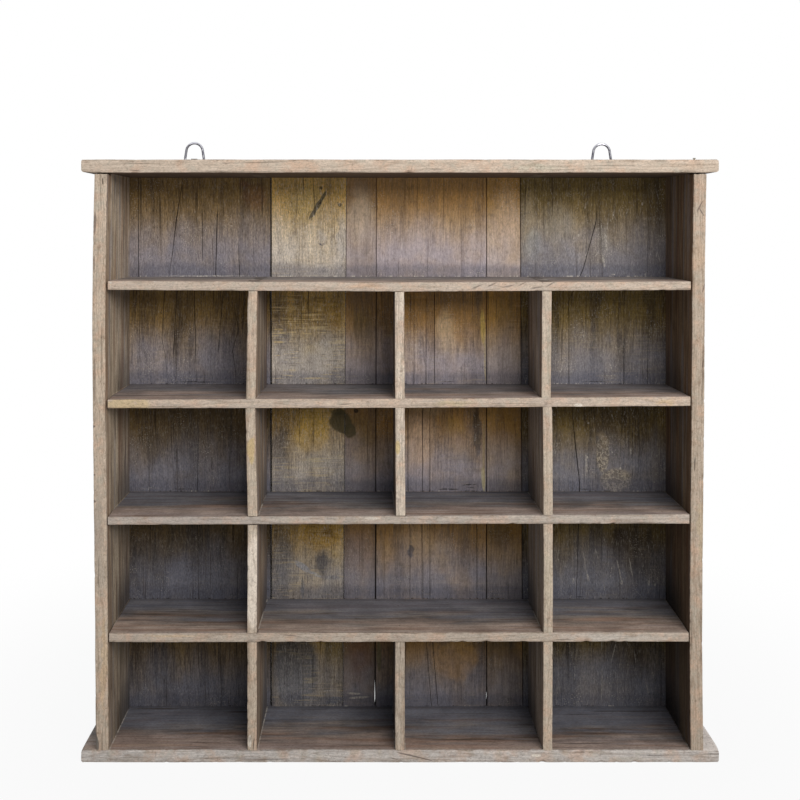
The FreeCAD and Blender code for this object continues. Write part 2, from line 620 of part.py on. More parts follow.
def make_nails():
    """All nails, each group in the frame of the board that it is driven through."""
    top = new_body("top_nails", "0", FRONT, TOP_LEVEL)
    add_nails(top, "nails", "XY_Plane", "Sizes.top_thk", TOP_NAIL_PLACES, False)
    proud = new_body("proud_nail", "0", FRONT, TOP_LEVEL)
    add_nails(proud, "shank", "XY_Plane", PROUD_DRIVEN, PROUD_PLACE, False)
    head = new_sketch(proud, "head_sketch", "XY_Plane", PROUD_DRIVEN)
    nail_profile(head, PROUD_PLACE, "Sizes.nail_head_width", "0")
    add_pad(proud, "head", head, "Sizes.nail_head_thk", along=False)
    bottom = new_body("bottom_nails", "0", FRONT, "0")
    add_nails(bottom, "nails", "XY_Plane", "0", BOTTOM_NAIL_PLACES, True)
    sides = [("left_side_nails", "-" + SIDE_MIDDLE, "-Sizes.side_thk / 2", True),
             ("right_side_nails", SIDE_MIDDLE, "Sizes.side_thk / 2", False)]
    for label, x, outer, along in sides:
        side = new_body(label, x, FRONT, shelf_level(SHELVES))
        nails = add_nails(side, "nails", "YZ_Plane", outer, SIDE_NAIL_PLACES, along)
        repeat(side, "rows", [nails], "Z_Axis", PITCH, SHELVES)
    first = new_body("shelf_1_nails", "0", FRONT, shelf_level(1))
    add_nails(first, "nails", "XY_Plane", "Sizes.shelf_thk", DIVIDER_NAIL_PLACES, False)
    third = new_body("shelf_3_nails", "0", FRONT, shelf_level(3))
    add_nails(third, "nails", "XY_Plane", "0", MIDDLE_NAIL_PLACES, True)
    fourth = new_body("shelf_4_nails", "0", FRONT, shelf_level(4))
    add_nails(fourth, "nails", "XY_Plane", "Sizes.shelf_thk", MIDDLE_NAIL_PLACES, False)
    back = new_body("back_nails", "0", FRONT, "Sizes.bottom_thk")
    rear = "-" + BOARD_DEPTH
    places = [(x, "Sizes.row_clear + " + SHELF_MIDDLE) for x in ALL_PLANK_NAILS]
    nails = add_nails(back, "shelf_nails", "XZ_Plane", rear, places, True)
    repeat(back, "shelf_rows", [nails], "Z_Axis", BACK_NAIL_SPACING, BACK_NAIL_COUNT)
    edge_places = [(x, EDGE_NAIL_LEVEL) for x in SIDE_PLACES]
    nails = add_nails(back, "edge_nails", "XZ_Plane", rear, edge_places, True)
    repeat(back, "edge_rows", [nails], "Z_Axis", "2 * " + PITCH, EDGE_NAIL_COUNT)


def strap_outline(body):
    """The strap seen from its edge: up against the board, over the ring's bar
    through three quarters of a turn, and down again over the first layer."""
    sketch = new_sketch(body, "outline", "YZ_Plane")
    thk = size("strap_thk")
    eye = size("ring_wire") / 2 + size("ring_clearance")
    fold = eye + thk
    bend = eye - thk - size("strap_gap")
    rise = size("strap_end_margin") + size("screw_spacing") + size("top_thk") / 2 + size("fold_height")
    eye_centre = FreeCAD.Vector(fold, rise)
    bend_centre = FreeCAD.Vector(fold, rise - fold - bend)
    normal = FreeCAD.Vector(0, 0, 1)
    layer_1 = fold - bend - thk
    layer_2 = fold - bend

    def line(start, end):
        return sketch.addGeometry(Part.LineSegment(FreeCAD.Vector(*start), FreeCAD.Vector(*end)), False)

    def arc(centre, radius, first, last):
        circle = Part.Circle(centre, normal, radius)
        return sketch.addGeometry(Part.ArcOfCircle(circle, first, last), False)

    back = line((0, 0), (0, rise))
    fold_outer = arc(eye_centre, fold, -math.pi / 2, math.pi)
    bend_inner = arc(bend_centre, bend, math.pi / 2, math.pi)
    face = line((layer_2, bend_centre.y), (layer_2, 0))
    outer_end = line((layer_2, 0), (layer_1, 0))
    inside = line((layer_1, 0), (layer_1, bend_centre.y))
    bend_outer = arc(bend_centre, bend + thk, math.pi / 2, math.pi)
    fold_inner = arc(eye_centre, eye, -math.pi / 2, math.pi)
    front = line((thk, rise), (thk, 0))
    inner_end = line((thk, 0), (0, 0))

    joints = [(back, 2, fold_outer, 2), (fold_outer, 1, bend_inner, 1), (bend_inner, 2, face, 1),
              (inside, 2, bend_outer, 2), (bend_outer, 1, fold_inner, 1), (fold_inner, 2, front, 1)]
    for first, first_end, second, second_end in joints:
        sketch.addConstraint(Sketcher.Constraint("Tangent", first, first_end, second, second_end))
    corners = [(face, outer_end), (outer_end, inside), (front, inner_end), (inner_end, back)]
    for first, second in corners:
        sketch.addConstraint(Sketcher.Constraint("Coincident", first, 2, second, 1))
    sketch.addConstraint(Sketcher.Constraint("Coincident", fold_outer, 3, fold_inner, 3))
    sketch.addConstraint(Sketcher.Constraint("Coincident", bend_inner, 3, bend_outer, 3))
    sketch.addConstraint(Sketcher.Constraint("Vertical", fold_outer, 3, bend_inner, 3))
    sketch.addConstraint(Sketcher.Constraint("Coincident", back, 1, -1, 1))
    sketch.addConstraint(Sketcher.Constraint("Vertical", back))
    sketch.addConstraint(Sketcher.Constraint("Vertical", face))
    sketch.addConstraint(Sketcher.Constraint("Horizontal", inner_end))
    sketch.addConstraint(Sketcher.Constraint("Horizontal", outer_end))
    sketch.addConstraint(Sketcher.Constraint("PointOnObject", outer_end, 1, -1))
    bend_radius = "%s - Sizes.strap_thk - Sizes.strap_gap" % EYE_RADIUS
    bind(sketch, Sketcher.Constraint("Radius", fold_inner, eye), "eye", EYE_RADIUS)
    bind(sketch, Sketcher.Constraint("Radius", fold_outer, fold), "fold", FOLD_RADIUS)
    bind(sketch, Sketcher.Constraint("Radius", bend_inner, bend), "bend", bend_radius)
    bind(sketch, Sketcher.Constraint("DistanceY", -1, 1, fold_outer, 3, rise), "rise", STRAP_RISE)
    return sketch


def make_strap(label, x, drop):
    """A folded sheet strap with a narrow neck at the ring and two screw holes."""
    body = new_body(label, x, BACK, "%s - %s" % (STRAP_FOOT, drop))
    add_pad(body, "folded_sheet", strap_outline(body), "Sizes.strap_width", symmetric=True)

    def end_corner(start, end):
        return level(start, end) and abs(start.x - end.x) < TINY and start.z < TINY

    bevel_edges(body, "end_corners", end_corner, "Sizes.strap_end_bevel")
    neck = new_sketch(body, "neck_sketch", "XZ_Plane", "Sizes.cut_overrun")
    low = "%s - Sizes.strap_neck_height" % STRAP_RISE
    high = "Sizes.strap_neck_height + %s + Sizes.cut_overrun" % FOLD_RADIUS
    cut = "(Sizes.strap_width - Sizes.strap_neck_width) / 2 + Sizes.cut_overrun"
    add_rectangle(neck, "left_cut", "-Sizes.strap_width / 2 - Sizes.cut_overrun", low, cut, high)
    add_rectangle(neck, "right_cut", "Sizes.strap_neck_width / 2", low, cut, high)
    add_pocket(body, "neck", neck, along=False)
    half_strap = size("strap_width") / 2

    def shoulder(start, end):
        across = level(start, end) and abs(start.x - end.x) < TINY
        return across and start.z > half_strap and abs(abs(start.x) - half_strap) < TINY

    bevel_edges(body, "shoulders", shoulder, "Sizes.strap_shoulder_bevel")
    holes = new_sketch(body, "hole_sketch", "XZ_Plane", "Sizes.cut_overrun")
    add_circle(holes, "lower", "0", LOWER_SCREW, "Sizes.screw_dia + 2 * Sizes.screw_clearance")
    hole = add_pocket(body, "hole", holes, along=False)
    repeat(body, "holes", [hole], "Z_Axis", "Sizes.screw_spacing", 2)


def screw_outline(body, name, x, drop):
    """Half a pan-head screw on an upright plane, its tip towards the front."""
    sketch = new_sketch(body, name + "_outline", "YZ_Plane", x)
    sketch.setExpression("AttachmentOffset.Base.y", "-" + drop)
    length = size("screw_length")
    shank = size("screw_dia") / 2
    head = size("screw_head_dia") / 2
    crown = size("screw_crown_dia") / 2
    tip = size("screw_tip_length")
    rim = length + size("screw_rim_height")
    top = rim + size("screw_crown_height")
    points = [(0, 0), (tip, shank), (length, shank), (length, head), (rim, head), (top, crown), (top, 0)]
    cone, side, seat, rim_line, bevel, flat, axis = add_chain(sketch, points)
    sketch.addConstraint(Sketcher.Constraint("Coincident", cone, 1, -1, 1))
    sketch.addConstraint(Sketcher.Constraint("Horizontal", axis))
    sketch.addConstraint(Sketcher.Constraint("Horizontal", side))
    sketch.addConstraint(Sketcher.Constraint("Horizontal", rim_line))
    sketch.addConstraint(Sketcher.Constraint("Vertical", seat))
    sketch.addConstraint(Sketcher.Constraint("Vertical", flat))
    bind(sketch, Sketcher.Constraint("DistanceX", cone, 1, cone, 2, tip), "tip", "Sizes.screw_tip_length")
    bind(sketch, Sketcher.Constraint("DistanceY", cone, 1, cone, 2, shank), "shank", "Sizes.screw_dia / 2")
    bind(sketch, Sketcher.Constraint("DistanceX", cone, 1, seat, 2, length), "under_head", "Sizes.screw_length")
    bind(sketch, Sketcher.Constraint("DistanceY", cone, 1, seat, 2, head), "head", "Sizes.screw_head_dia / 2")
    bind(sketch, Sketcher.Constraint("DistanceX", rim_line, 1, rim_line, 2, rim - length), "rim",
         "Sizes.screw_rim_height")
    bind(sketch, Sketcher.Constraint("DistanceX", bevel, 1, bevel, 2, top - rim), "crown_height",
         "Sizes.screw_crown_height")
    bind(sketch, Sketcher.Constraint("DistanceY", flat, 2, flat, 1, crown), "crown", "Sizes.screw_crown_dia / 2")
    return sketch


def make_strap_screws():
    """Two pan-head screws in each strap, their heads behind."""
    tip_y = "%s + %s - Sizes.screw_length" % (BACK, STRAP_STACK)
    body = new_body("strap_screws", "0", tip_y, "%s + %s" % (STRAP_FOOT, LOWER_SCREW))
    turned = []
    for hand, x, drop in HANGERS:
        screw = body.newObject("PartDesign::Revolution", "strap_screws_" + hand)
        screw.Profile = screw_outline(body, hand, x, drop)
        screw.ReferenceAxis = (screw.Profile[0], ["H_Axis"])
        screw.Angle = 360
        doc.recompute()
        turned.append(screw)
    repeat(body, "pairs", turned, "Z_Axis", "Sizes.screw_spacing", 2)


def make_ring(label, x, drop):
    """A wire ring: straight bar in the fold, two legs that lean in, and an arch."""
    rise = "%s + Sizes.top_thk + Sizes.fold_height - %s" % (TOP_LEVEL, drop)
    body = new_body(label, x, "%s + %s" % (BACK, FOLD_RADIUS), rise)
    path = new_sketch(body, "path", "XZ_Plane")
    foot = size("ring_foot_radius")
    arch = size("ring_arch_radius")
    height = size("ring_arch_rise")
    foot_x = size("ring_width") / 2 - size("ring_wire") / 2 - foot
    apart = math.hypot(foot_x, height - foot)
    lean = math.acos((arch - foot) / apart) - math.atan2(height - foot, foot_x)
    normal = FreeCAD.Vector(0, 0, 1)

    def line(start, end):
        return path.addGeometry(Part.LineSegment(start, end), False)

    def arc(centre, radius, first, last):
        circle = Part.Circle(centre, normal, radius)
        return path.addGeometry(Part.ArcOfCircle(circle, first, last), False)

    def on_circle(centre, radius, angle):
        return centre + FreeCAD.Vector(radius * math.cos(angle), radius * math.sin(angle))

    right = FreeCAD.Vector(foot_x, foot)
    left = FreeCAD.Vector(-foot_x, foot)
    crown = FreeCAD.Vector(0, height)
    origin = FreeCAD.Vector(0, 0)
    right_bar = line(origin, FreeCAD.Vector(foot_x, 0))
    right_foot = arc(right, foot, -math.pi / 2, lean)
    right_leg = line(on_circle(right, foot, lean), on_circle(crown, arch, lean))
    bow = arc(crown, arch, lean, math.pi - lean)
    left_leg = line(on_circle(crown, arch, math.pi - lean), on_circle(left, foot, math.pi - lean))
    left_foot = arc(left, foot, math.pi - lean, 3 * math.pi / 2)
    left_bar = line(FreeCAD.Vector(-foot_x, 0), origin)
    joints = [(right_bar, 2, right_foot, 1), (right_foot, 2, right_leg, 1), (right_leg, 2, bow, 1),
              (bow, 2, left_leg, 1), (left_leg, 2, left_foot, 1), (left_foot, 2, left_bar, 1)]
    for first, first_end, second, second_end in joints:
        path.addConstraint(Sketcher.Constraint("Tangent", first, first_end, second, second_end))
    path.addConstraint(Sketcher.Constraint("Coincident", right_bar, 1, -1, 1))
    path.addConstraint(Sketcher.Constraint("Coincident", left_bar, 2, -1, 1))
    path.addConstraint(Sketcher.Constraint("Horizontal", right_bar))
    path.addConstraint(Sketcher.Constraint("Horizontal", left_bar))
    path.addConstraint(Sketcher.Constraint("PointOnObject", bow, 3, -2))
    path.addConstraint(Sketcher.Constraint("Equal", right_foot, left_foot))
    path.addConstraint(Sketcher.Constraint("Equal", right_bar, left_bar))
    foot_place = "Sizes.ring_width / 2 - Sizes.ring_wire / 2 - Sizes.ring_foot_radius"
    bind(path, Sketcher.Constraint("Radius", right_foot, foot), "foot", "Sizes.ring_foot_radius")
    bind(path, Sketcher.Constraint("Radius", bow, arch), "arch", "Sizes.ring_arch_radius")
    bind(path, Sketcher.Constraint("DistanceY", -1, 1, bow, 3, height), "rise", "Sizes.ring_arch_rise")
    bind(path, Sketcher.Constraint("DistanceX", -1, 1, right_foot, 3, foot_x), "foot_place", foot_place)
    section = new_sketch(body, "wire_section", "YZ_Plane")
    add_polygon(section, "wire", WIRE_SIDES, "Sizes.ring_wire", size("ring_wire"))
    doc.recompute()
    pipe = body.newObject("PartDesign::AdditivePipe", label + "_wire")
    pipe.Profile = section
    pipe.Spine = (path, [])
    doc.recompute()


make_top_board()
make_bottom_board()
make_left_side()
make_right_side()
for shelf_number in range(1, SHELVES + 1):
    make_shelf(shelf_number)
make_dividers()
for plank_number in range(1, PLANKS + 1):
    make_plank(plank_number)
make_nails()
for hand, hanger_x, hanger_drop in HANGERS:
    make_strap(hand + "_strap", hanger_x, hanger_drop)
    make_ring(hand + "_ring", hanger_x, hanger_drop)
make_strap_screws()
doc.recompute()

for item in doc.Objects:
    if "Invalid" in item.State or "Error" in item.State:
        raise RuntimeError("%s did not compute: %s" % (item.Label, item.State))
for body in bodies:
    if body.Shape.isNull() or not body.Shape.isValid():
        raise RuntimeError("%s has no valid shape" % body.Label)
for body in bodies:
    body.Shape.exportStep("parts/%s.step" % body.Label)
    box = body.Shape.BoundBox
    print("%-22s solids %2d  x %8.2f %8.2f  y %7.2f %7.2f  z %7.2f %7.2f" % (
        body.Label, len(body.Shape.Solids), box.XMin, box.XMax, box.YMin, box.YMax, box.ZMin, box.ZMax))
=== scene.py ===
import json
import math

import bmesh
import bpy
from mathutils import Matrix, Vector, noise


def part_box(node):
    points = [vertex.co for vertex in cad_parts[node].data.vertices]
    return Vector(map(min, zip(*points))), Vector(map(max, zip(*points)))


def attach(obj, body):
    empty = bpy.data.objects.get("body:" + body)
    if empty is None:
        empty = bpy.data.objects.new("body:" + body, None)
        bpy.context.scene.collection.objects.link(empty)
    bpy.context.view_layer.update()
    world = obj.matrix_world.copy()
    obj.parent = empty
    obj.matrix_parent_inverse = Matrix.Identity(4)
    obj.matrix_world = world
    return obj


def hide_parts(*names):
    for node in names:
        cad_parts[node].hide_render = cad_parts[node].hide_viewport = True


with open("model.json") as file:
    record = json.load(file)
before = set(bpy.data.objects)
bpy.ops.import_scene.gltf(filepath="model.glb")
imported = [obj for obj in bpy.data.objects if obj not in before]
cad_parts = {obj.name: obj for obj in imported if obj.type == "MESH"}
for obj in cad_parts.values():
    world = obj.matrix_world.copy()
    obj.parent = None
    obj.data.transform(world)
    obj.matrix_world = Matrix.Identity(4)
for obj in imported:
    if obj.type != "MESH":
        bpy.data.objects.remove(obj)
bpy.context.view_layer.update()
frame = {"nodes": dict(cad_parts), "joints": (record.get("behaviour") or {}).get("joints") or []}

# Sizes, in metres unless a name or a comment says otherwise

MM = 0.001
BOXES = {name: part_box(name) for name in frame["nodes"]}
FRONT_PLANE = BOXES["left_side"][0].y
PLANK_PLANE = BOXES["back_plank_1"][0].y
LOWEST_FLOOR = BOXES["bottom_board"][1].z
TOP_UNDERSIDE = BOXES["top_board"][0].z
ROW_PITCH = BOXES["shelf_1"][1].z - BOXES["shelf_2"][1].z
INNER_HALF_MM = 321

# Names of the boards
SHELVES = ("shelf_1", "shelf_2", "shelf_3", "shelf_4")
OUTER_BOARDS = ("top_board", "bottom_board")
SLOTTED_DIVIDERS = ("left_divider", "right_divider", "upper_middle_divider")
UPRIGHTS = ("left_side", "right_side") + SLOTTED_DIVIDERS + ("lower_middle_divider",)

# Sideways shift of the uprights' front edges, in mm: upright's x -> pairs of height and shift
SIDEWAYS = {
    -328.5: [(20, 1.5), (69, 1.1), (179, 0.4), (288, -0.85), (398, -2.0), (475, -2.6), (552, -1.9),
             (595, -1.2), (645, 0)],
    -162.0: [(20, -0.4), (180, -0.4), (271, 0.2), (390, -2.5), (400, -2.0), (519, 0.3)],
    0.0: [(135, 0), (271, 0.8), (519, -0.6)],
    162.0: [(20, 0.1), (180, 0.9), (330, 0.6), (385, 0), (400, -1.5), (519, -0.6)],
    328.5: [(20, -2.3), (69, -3.0), (135, -3.5), (222, -3.0), (332, -1.8), (398, -1.2), (475, -0.7),
            (552, -0.3), (645, 1.3)],
}

# Rise of the shelves' front edges, in mm, at the left side, the middle and the right side
RISES = {"shelf_4": (-0.6, 0, 0.3), "shelf_3": (-1.1, 0, 1.1), "shelf_2": (-1.4, -0.6, 1.6),
         "shelf_1": (0, -1.7, -0.3)}

# How thick each shelf is left at its front edge, at the same three places, as a share of its thickness
FRONT_SHARES = {"shelf_4": (0.97, 1.0, 1.0), "shelf_3": (0.84, 0.87, 1.04), "shelf_2": (0.95, 1.02, 1.04),
                "shelf_1": (1.0, 1.04, 0.94)}

# Gaps at the front of joints, in mm: at a shelf's left and right end, and above an upright's top end
END_GAPS = {"shelf_1": (2.1, 1.1), "shelf_2": (1.9, 0.7), "shelf_3": (0.6, 0.7), "shelf_4": (0.8, 0.6)}
TOP_GAPS = {"left_side": 1.5, "right_side": 1.5, "left_divider": 0.4, "right_divider": 0.3,
            "upper_middle_divider": 0.4, "lower_middle_divider": 0.4}

# How far the undersides of the two outer boards rise towards their ends, in mm
OUTER_END_LIFTS = {"top_board": 0.9, "bottom_board": 0.3}

# How much longer the two outer boards are behind their front edge, at the left and the right end, in mm
OUTER_END_FLARES = {"top_board": (0, 0), "bottom_board": (0.8, 2.4)}

# How far each plank's right edge leans on its way up, in mm
PLANK_LEANS = {1: 0, 2: 4.5, 3: 2.3, 4: 0, 5: -3.1, 6: 0}

# Cracks in the planks, in mm: each is a path of height, x and width, and closed where the width is 0
CRACKS = {
    1: [
        [(13, -311, 0), (60, -311, 0.3), (120, -311, 0), (400, -309, 0), (519, -310.2, 0.4),
         (530, -310.6, 0.7), (640, -310.6, 0.5)],
        [(13, -276, 0), (400, -276, 0), (430, -278, 0.3), (453, -282.7, 0.5), (510, -280, 0.3),
         (519, -276, 0), (553, -270.5, 0.5), (600, -265, 0.9), (640, -258.5, 0.3)],
        [(13, -258, 0), (300, -260, 0), (424, -268.5, 0.2), (441, -268.7, 0.8), (470, -267, 0.5),
         (509, -264.6, 0.5), (522, -261, 0), (600, -250, 0), (647, -246, 0)],
        [(13, -238, 0), (280, -240, 0.5), (360, -239, 0), (428, -242, 0.3), (470, -243, 0.7),
         (510, -243.9, 0.5), (545, -234.3, 0), (553, -234, 0.5), (604, -234, 0.4), (615, -234, 0)],
        [(13, -219, 0), (290, -219, 0), (425, -216, 0), (448, -214.5, 0.5), (505, -209.6, 0.5),
         (516, -212, 0), (530, -218.2, 0.8), (600, -216.5, 0.7), (615, -216, 0)],
        [(13, -191, 0), (160, -192, 0.4), (240, -191, 0), (413, -194, 0.3), (440, -198, 0.5),
         (465, -191, 0.4), (492, -196, 0.3), (515, -193, 0), (530, -189.4, 0.8), (580, -191.4, 0)],
        [(13, -170, 0), (300, -168, 0), (594, -162.6, 0), (610, -162.6, 0.8), (647, -162.6, 0.4)],
    ],
    2: [
        [(13, -118, 0), (300, -118, 0), (345, -118, 0.4), (400, -118, 0), (528, -118, 0), (560, -118, 0.3),
         (600, -117, 0)],
    ],
    3: [
        [(13, -45, 0), (150, -45, 0), (200, -45.5, 0.4), (250, -45, 0), (647, -44, 0)],
    ],
    4: [
        [(13, 15, 0), (142, 14.9, 0), (170, 14.9, 0.6), (225, 14.9, 0.4), (273, 12.5, 0.6),
         (366, 12.5, 0.5), (402, 19.7, 0.6), (500, 19.7, 0.4), (530, 19.7, 0)],
        [(13, 40.8, 0.5), (90, 34.4, 0.5), (132, 30.5, 0.3), (142, 29.3, 0.4), (225, 29.3, 0.7),
         (273, 29.9, 0.4), (366, 29.9, 0.8), (402, 34.1, 0.7), (500, 34.1, 0.5), (530, 34.1, 0)],
        [(13, 48.6, 0.5), (90, 42, 0.6), (132, 39.5, 0.4), (142, 38.8, 0.5), (225, 38.8, 0.4),
         (273, 38.8, 0.7), (366, 38.8, 0.5), (402, 44.2, 0.5), (500, 44.2, 0.7), (530, 44.2, 0)],
        [(13, 88, 0), (142, 95.2, 0.5), (225, 95.2, 0.7), (280, 92, 0), (400, 92, 0), (500, 90, 0.4),
         (530, 90, 0)],
    ],
    5: [
        [(13, 128, 0), (300, 128, 0), (350, 128, 0.3), (390, 127, 0), (647, 127, 0)],
    ],
    6: [
        [(13, 210, 0), (279, 218.7, 0.7), (330, 213, 0.9), (372, 209.1, 0.4), (402, 205.5, 0.6),
         (500, 205.5, 0.5), (537, 222.3, 0.7), (594, 237.9, 0.8), (620, 240, 0)],
        [(13, 262, 0), (150, 262, 0), (220, 262, 0.5), (260, 264, 0), (402, 271.5, 0.6), (500, 271.5, 0.4),
         (540, 272, 0), (647, 272, 0)],
        [(13, 297, 0), (300, 298, 0), (420, 300, 0.4), (480, 300, 0), (560, 300, 0.3), (647, 300, 0)],
    ],
}

# Seam after each plank, in mm, against height: how far it is open at the planks' front
SEAM_GAPS = {
    1: [(13, 1.6), (300, 1.7), (647, 1.5)],
    2: [(13, 0.3), (647, 0.3)],
    3: [(13, 1.4), (37, 1.4), (43, 1.2), (240, 1.2), (280, 0.8), (519, 0.6), (532, 0.25), (647, 0.2)],
    4: [(14, 0.8), (17, 1.2), (34, 1.2), (40, 0.8), (240, 0.8), (280, 0.6), (647, 0.5)],
    5: [(13, 0.4), (647, 0.4)],
}

# The same at the planks' back, where only two slits let the light through
SLITS = {3: [(16, 0), (18, 0.6), (24, 0.5), (28, 0.4), (31, 0.28), (37, 0.22), (39, 0)],
         4: [(15, 0), (18, 1.24), (26, 1.2), (28, 0)]}


# Small helpers

def between(table, value):
    """Value of a table of pairs at one place, along straight lines."""
    if value <= table[0][0]:
        return table[0][1]
    for (start, low), (end, high) in zip(table, table[1:]):
        if value <= end:
            return low + (high - low) * (value - start) / (end - start)
    return table[-1][1]


def shelf_table(values):
    """A shelf's three values, left, middle and right, as pairs with x in mm."""
    return list(zip((-INNER_HALF_MM, 0, INNER_HALF_MM), values))


def rise_table(x):
    """Rise of the front edges against height, in mm, above one x in mm."""
    table = [(LOWEST_FLOOR / MM, 0)]
    for name in reversed(SHELVES):
        low, high = BOXES[name]
        rise = between(shelf_table(RISES[name]), x)
        table += [(low.z / MM, rise), (high.z / MM, rise)]
    return table + [(TOP_UNDERSIDE / MM, 0)]


# The rises are worked out once in columns, in mm, and the places between two columns are filled in
COLUMN_STEP = 20
COLUMN_REACH = 360
RISE_TABLES = {x: rise_table(x) for x in range(-COLUMN_REACH, COLUMN_REACH + 1, COLUMN_STEP)}


def bent(place):
    """Where a point of the straight case goes when its boards are as warped as the old ones."""
    share = (PLANK_PLANE - place.y) / (PLANK_PLANE - FRONT_PLANE)
    share = min(max(share, 0), 1)
    x, z = place.x / MM, place.z / MM
    sideways = between([(at, between(table, z)) for at, table in SIDEWAYS.items()], x)
    left = math.floor(x / COLUMN_STEP) * COLUMN_STEP
    left = min(max(left, -COLUMN_REACH), COLUMN_REACH - COLUMN_STEP)
    rise = between([(at, between(RISE_TABLES[at], z)) for at in (left, left + COLUMN_STEP)], x)
    return place + Vector((sideways, 0, rise)) * share * MM


def spaced(start, end, step, marks=()):
    """Places from start to end, about step apart, with every mark among them."""
    stops = sorted({start, end, *[mark for mark in marks if start < mark < end]})
    places = [stops[0]]
    for low, high in zip(stops, stops[1:]):
        count = max(1, round((high - low) / step))
        places += [low + (high - low) * n / count for n in range(1, count + 1)]
    return places


def whole(shape):
    """All of a shape's points, edges and faces."""
    return shape.verts[:] + shape.edges[:] + shape.faces[:]


def points_of(items):
    """The points among a shape's items."""
    return [item for item in items if isinstance(item, bmesh.types.BMVert)]


def finish_piece(name, ending, shape, body, finish, sharp=38):
    """Turns a shape into the piece that stands for a CAD node, rides on a body and has its material."""
    bmesh.ops.recalc_face_normals(shape, faces=shape.faces[:])
    for face in shape.faces:
        face.smooth = True
    for edge in shape.edges:
        edge.smooth = edge.calc_face_angle(math.pi) < math.radians(sharp)
    mesh = bpy.data.meshes.new(name + ending)
    shape.to_mesh(mesh)
    shape.free()
    mesh.materials.append(finish)
    piece = bpy.data.objects.new(name + ending, mesh)
    bpy.context.scene.collection.objects.link(piece)
    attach(piece, body)
    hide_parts(name)


# Node helpers

class Wiring:
    """Adds nodes to one node tree and joins them."""

    def __init__(self, tree):
        self.tree = tree

    def add(self, kind, inputs=None, **settings):
        node = self.tree.nodes.new(kind)
        for name, value in settings.items():
            setattr(node, name, value)
        for name, value in (inputs or {}).items():
            self.plug(node.inputs[name], value)
        return node

    def plug(self, socket, value):
        if isinstance(value, bpy.types.NodeSocket):
            self.tree.links.new(value, socket)
        else:
            socket.default_value = value

    def give(self, end, values):
        """Joins values to the outputs of a shared effect."""
        for label, value in values.items():
            self.plug(end[label], value)

    def value(self, operation, first, second=0.0):
        return self.add("ShaderNodeMath", {0: first, 1: second}, operation=operation).outputs[0]

    def plus(self, first, second):
        return self.value("ADD", first, second)

    def minus(self, first, second):
        return self.value("SUBTRACT", first, second)

    def most(self, first, second):
        return self.value("MAXIMUM", first, second)

    def times(self, first, *others):
        for other in others:
            first = self.value("MULTIPLY", first, other)
        return first

    def vector(self, operation, first, second):
        return self.add("ShaderNodeVectorMath", {0: first, 1: second}, operation=operation).outputs["Vector"]

    def length(self, place):
        return self.add("ShaderNodeVectorMath", {0: place}, operation="LENGTH").outputs["Value"]

    def dim(self, colour, share):
        """A colour made darker or lighter by a share."""
        return self.add("ShaderNodeVectorMath", {0: colour, 3: share}, operation="SCALE").outputs["Vector"]

    def mix(self, share, first, second):
        return self.add("ShaderNodeMix", {0: share, 6: first, 7: second}, data_type="RGBA").outputs[2]

    def lay(self, colour, shade, *masks):
        """A shade laid over a colour, as strong as its masks allow together."""
        return self.mix(self.times(*masks), colour, shade)

    def fade(self, value, start, end, low=0.0, high=1.0):
        """Smooth change from low to high while value goes from start to end."""
        inputs = dict(enumerate((value, start, end, low, high)))
        return self.add("ShaderNodeMapRange", inputs, interpolation_type="SMOOTHSTEP").outputs[0]

    def cloud(self, place, scale, detail=2.0, roughness=0.5):
        """Noise at one scale per metre."""
        inputs = {"Vector": place, "Scale": scale, "Detail": detail, "Roughness": roughness}
        return self.add("ShaderNodeTexNoise", inputs).outputs[0]

    def stretched(self, place, scale, move=(0, 0, 0), turn=(0, 0, 0)):
        """The place moved, turned and stretched by a Mapping node."""
        inputs = {"Vector": place, "Location": move, "Rotation": turn, "Scale": scale}
        return self.add("ShaderNodeMapping", inputs).outputs[0]

    def drawn_out(self, place, scale, detail, roughness=0.5, move=(0, 0, 0)):
        """Noise with a scale of its own along each axis."""
        return self.cloud(self.stretched(place, scale, move), 1.0, detail, roughness)

    def wander(self, place, scale, detail, reach, roughness=0.5):
        """Noise to both sides of zero."""
        return self.times(self.minus(self.cloud(place, scale, detail, roughness), 0.5), reach)

    def split(self, place):
        return self.add("ShaderNodeSeparateXYZ", {"Vector": place}).outputs

    def join(self, x, y, z):
        return self.add("ShaderNodeCombineXYZ", {"X": x, "Y": y, "Z": z}).outputs[0]

    def facing(self):
        """The three parts of the direction in which a surface faces."""
        return self.split(self.add("ShaderNodeNewGeometry").outputs["Normal"])

    def point_mark(self, name):
        """A value that the piece's points carry."""
        return self.add("ShaderNodeAttribute", attribute_name=name).outputs["Fac"]

    def effect(self, group, inputs):
        """One use of a shared effect."""
        return self.add("ShaderNodeGroup", inputs, node_tree=group).outputs


def new_effect(name, outputs, **inputs):
    """An empty shared effect: its node group, the wiring in it, its place, its inputs and its outputs."""
    group = bpy.data.node_groups.new(name, "ShaderNodeTree")
    group.interface.new_socket("Place", in_out="INPUT", socket_type="NodeSocketVector")
    for label, value in inputs.items():
        kind = "NodeSocketVector" if isinstance(value, tuple) else "NodeSocketFloat"
        group.interface.new_socket(label, in_out="INPUT", socket_type=kind).default_value = value
    for label in outputs:
        group.interface.new_socket(label, in_out="OUTPUT", socket_type="NodeSocketFloat")
    wiring = Wiring(group)
    start = wiring.add("NodeGroupInput").outputs
    return group, wiring, start["Place"], start, wiring.add("NodeGroupOutput").inputs


def paint(red, green, blue):
    """A colour given as it shows on screen, 0 to 255."""
    def linear(level):
        level /= 255
        return level / 12.92 if level <= 0.04045 else ((level + 0.055) / 1.055) ** 2.4
    return (linear(red), linear(green), linear(blue), 1.0)


# Shared effects

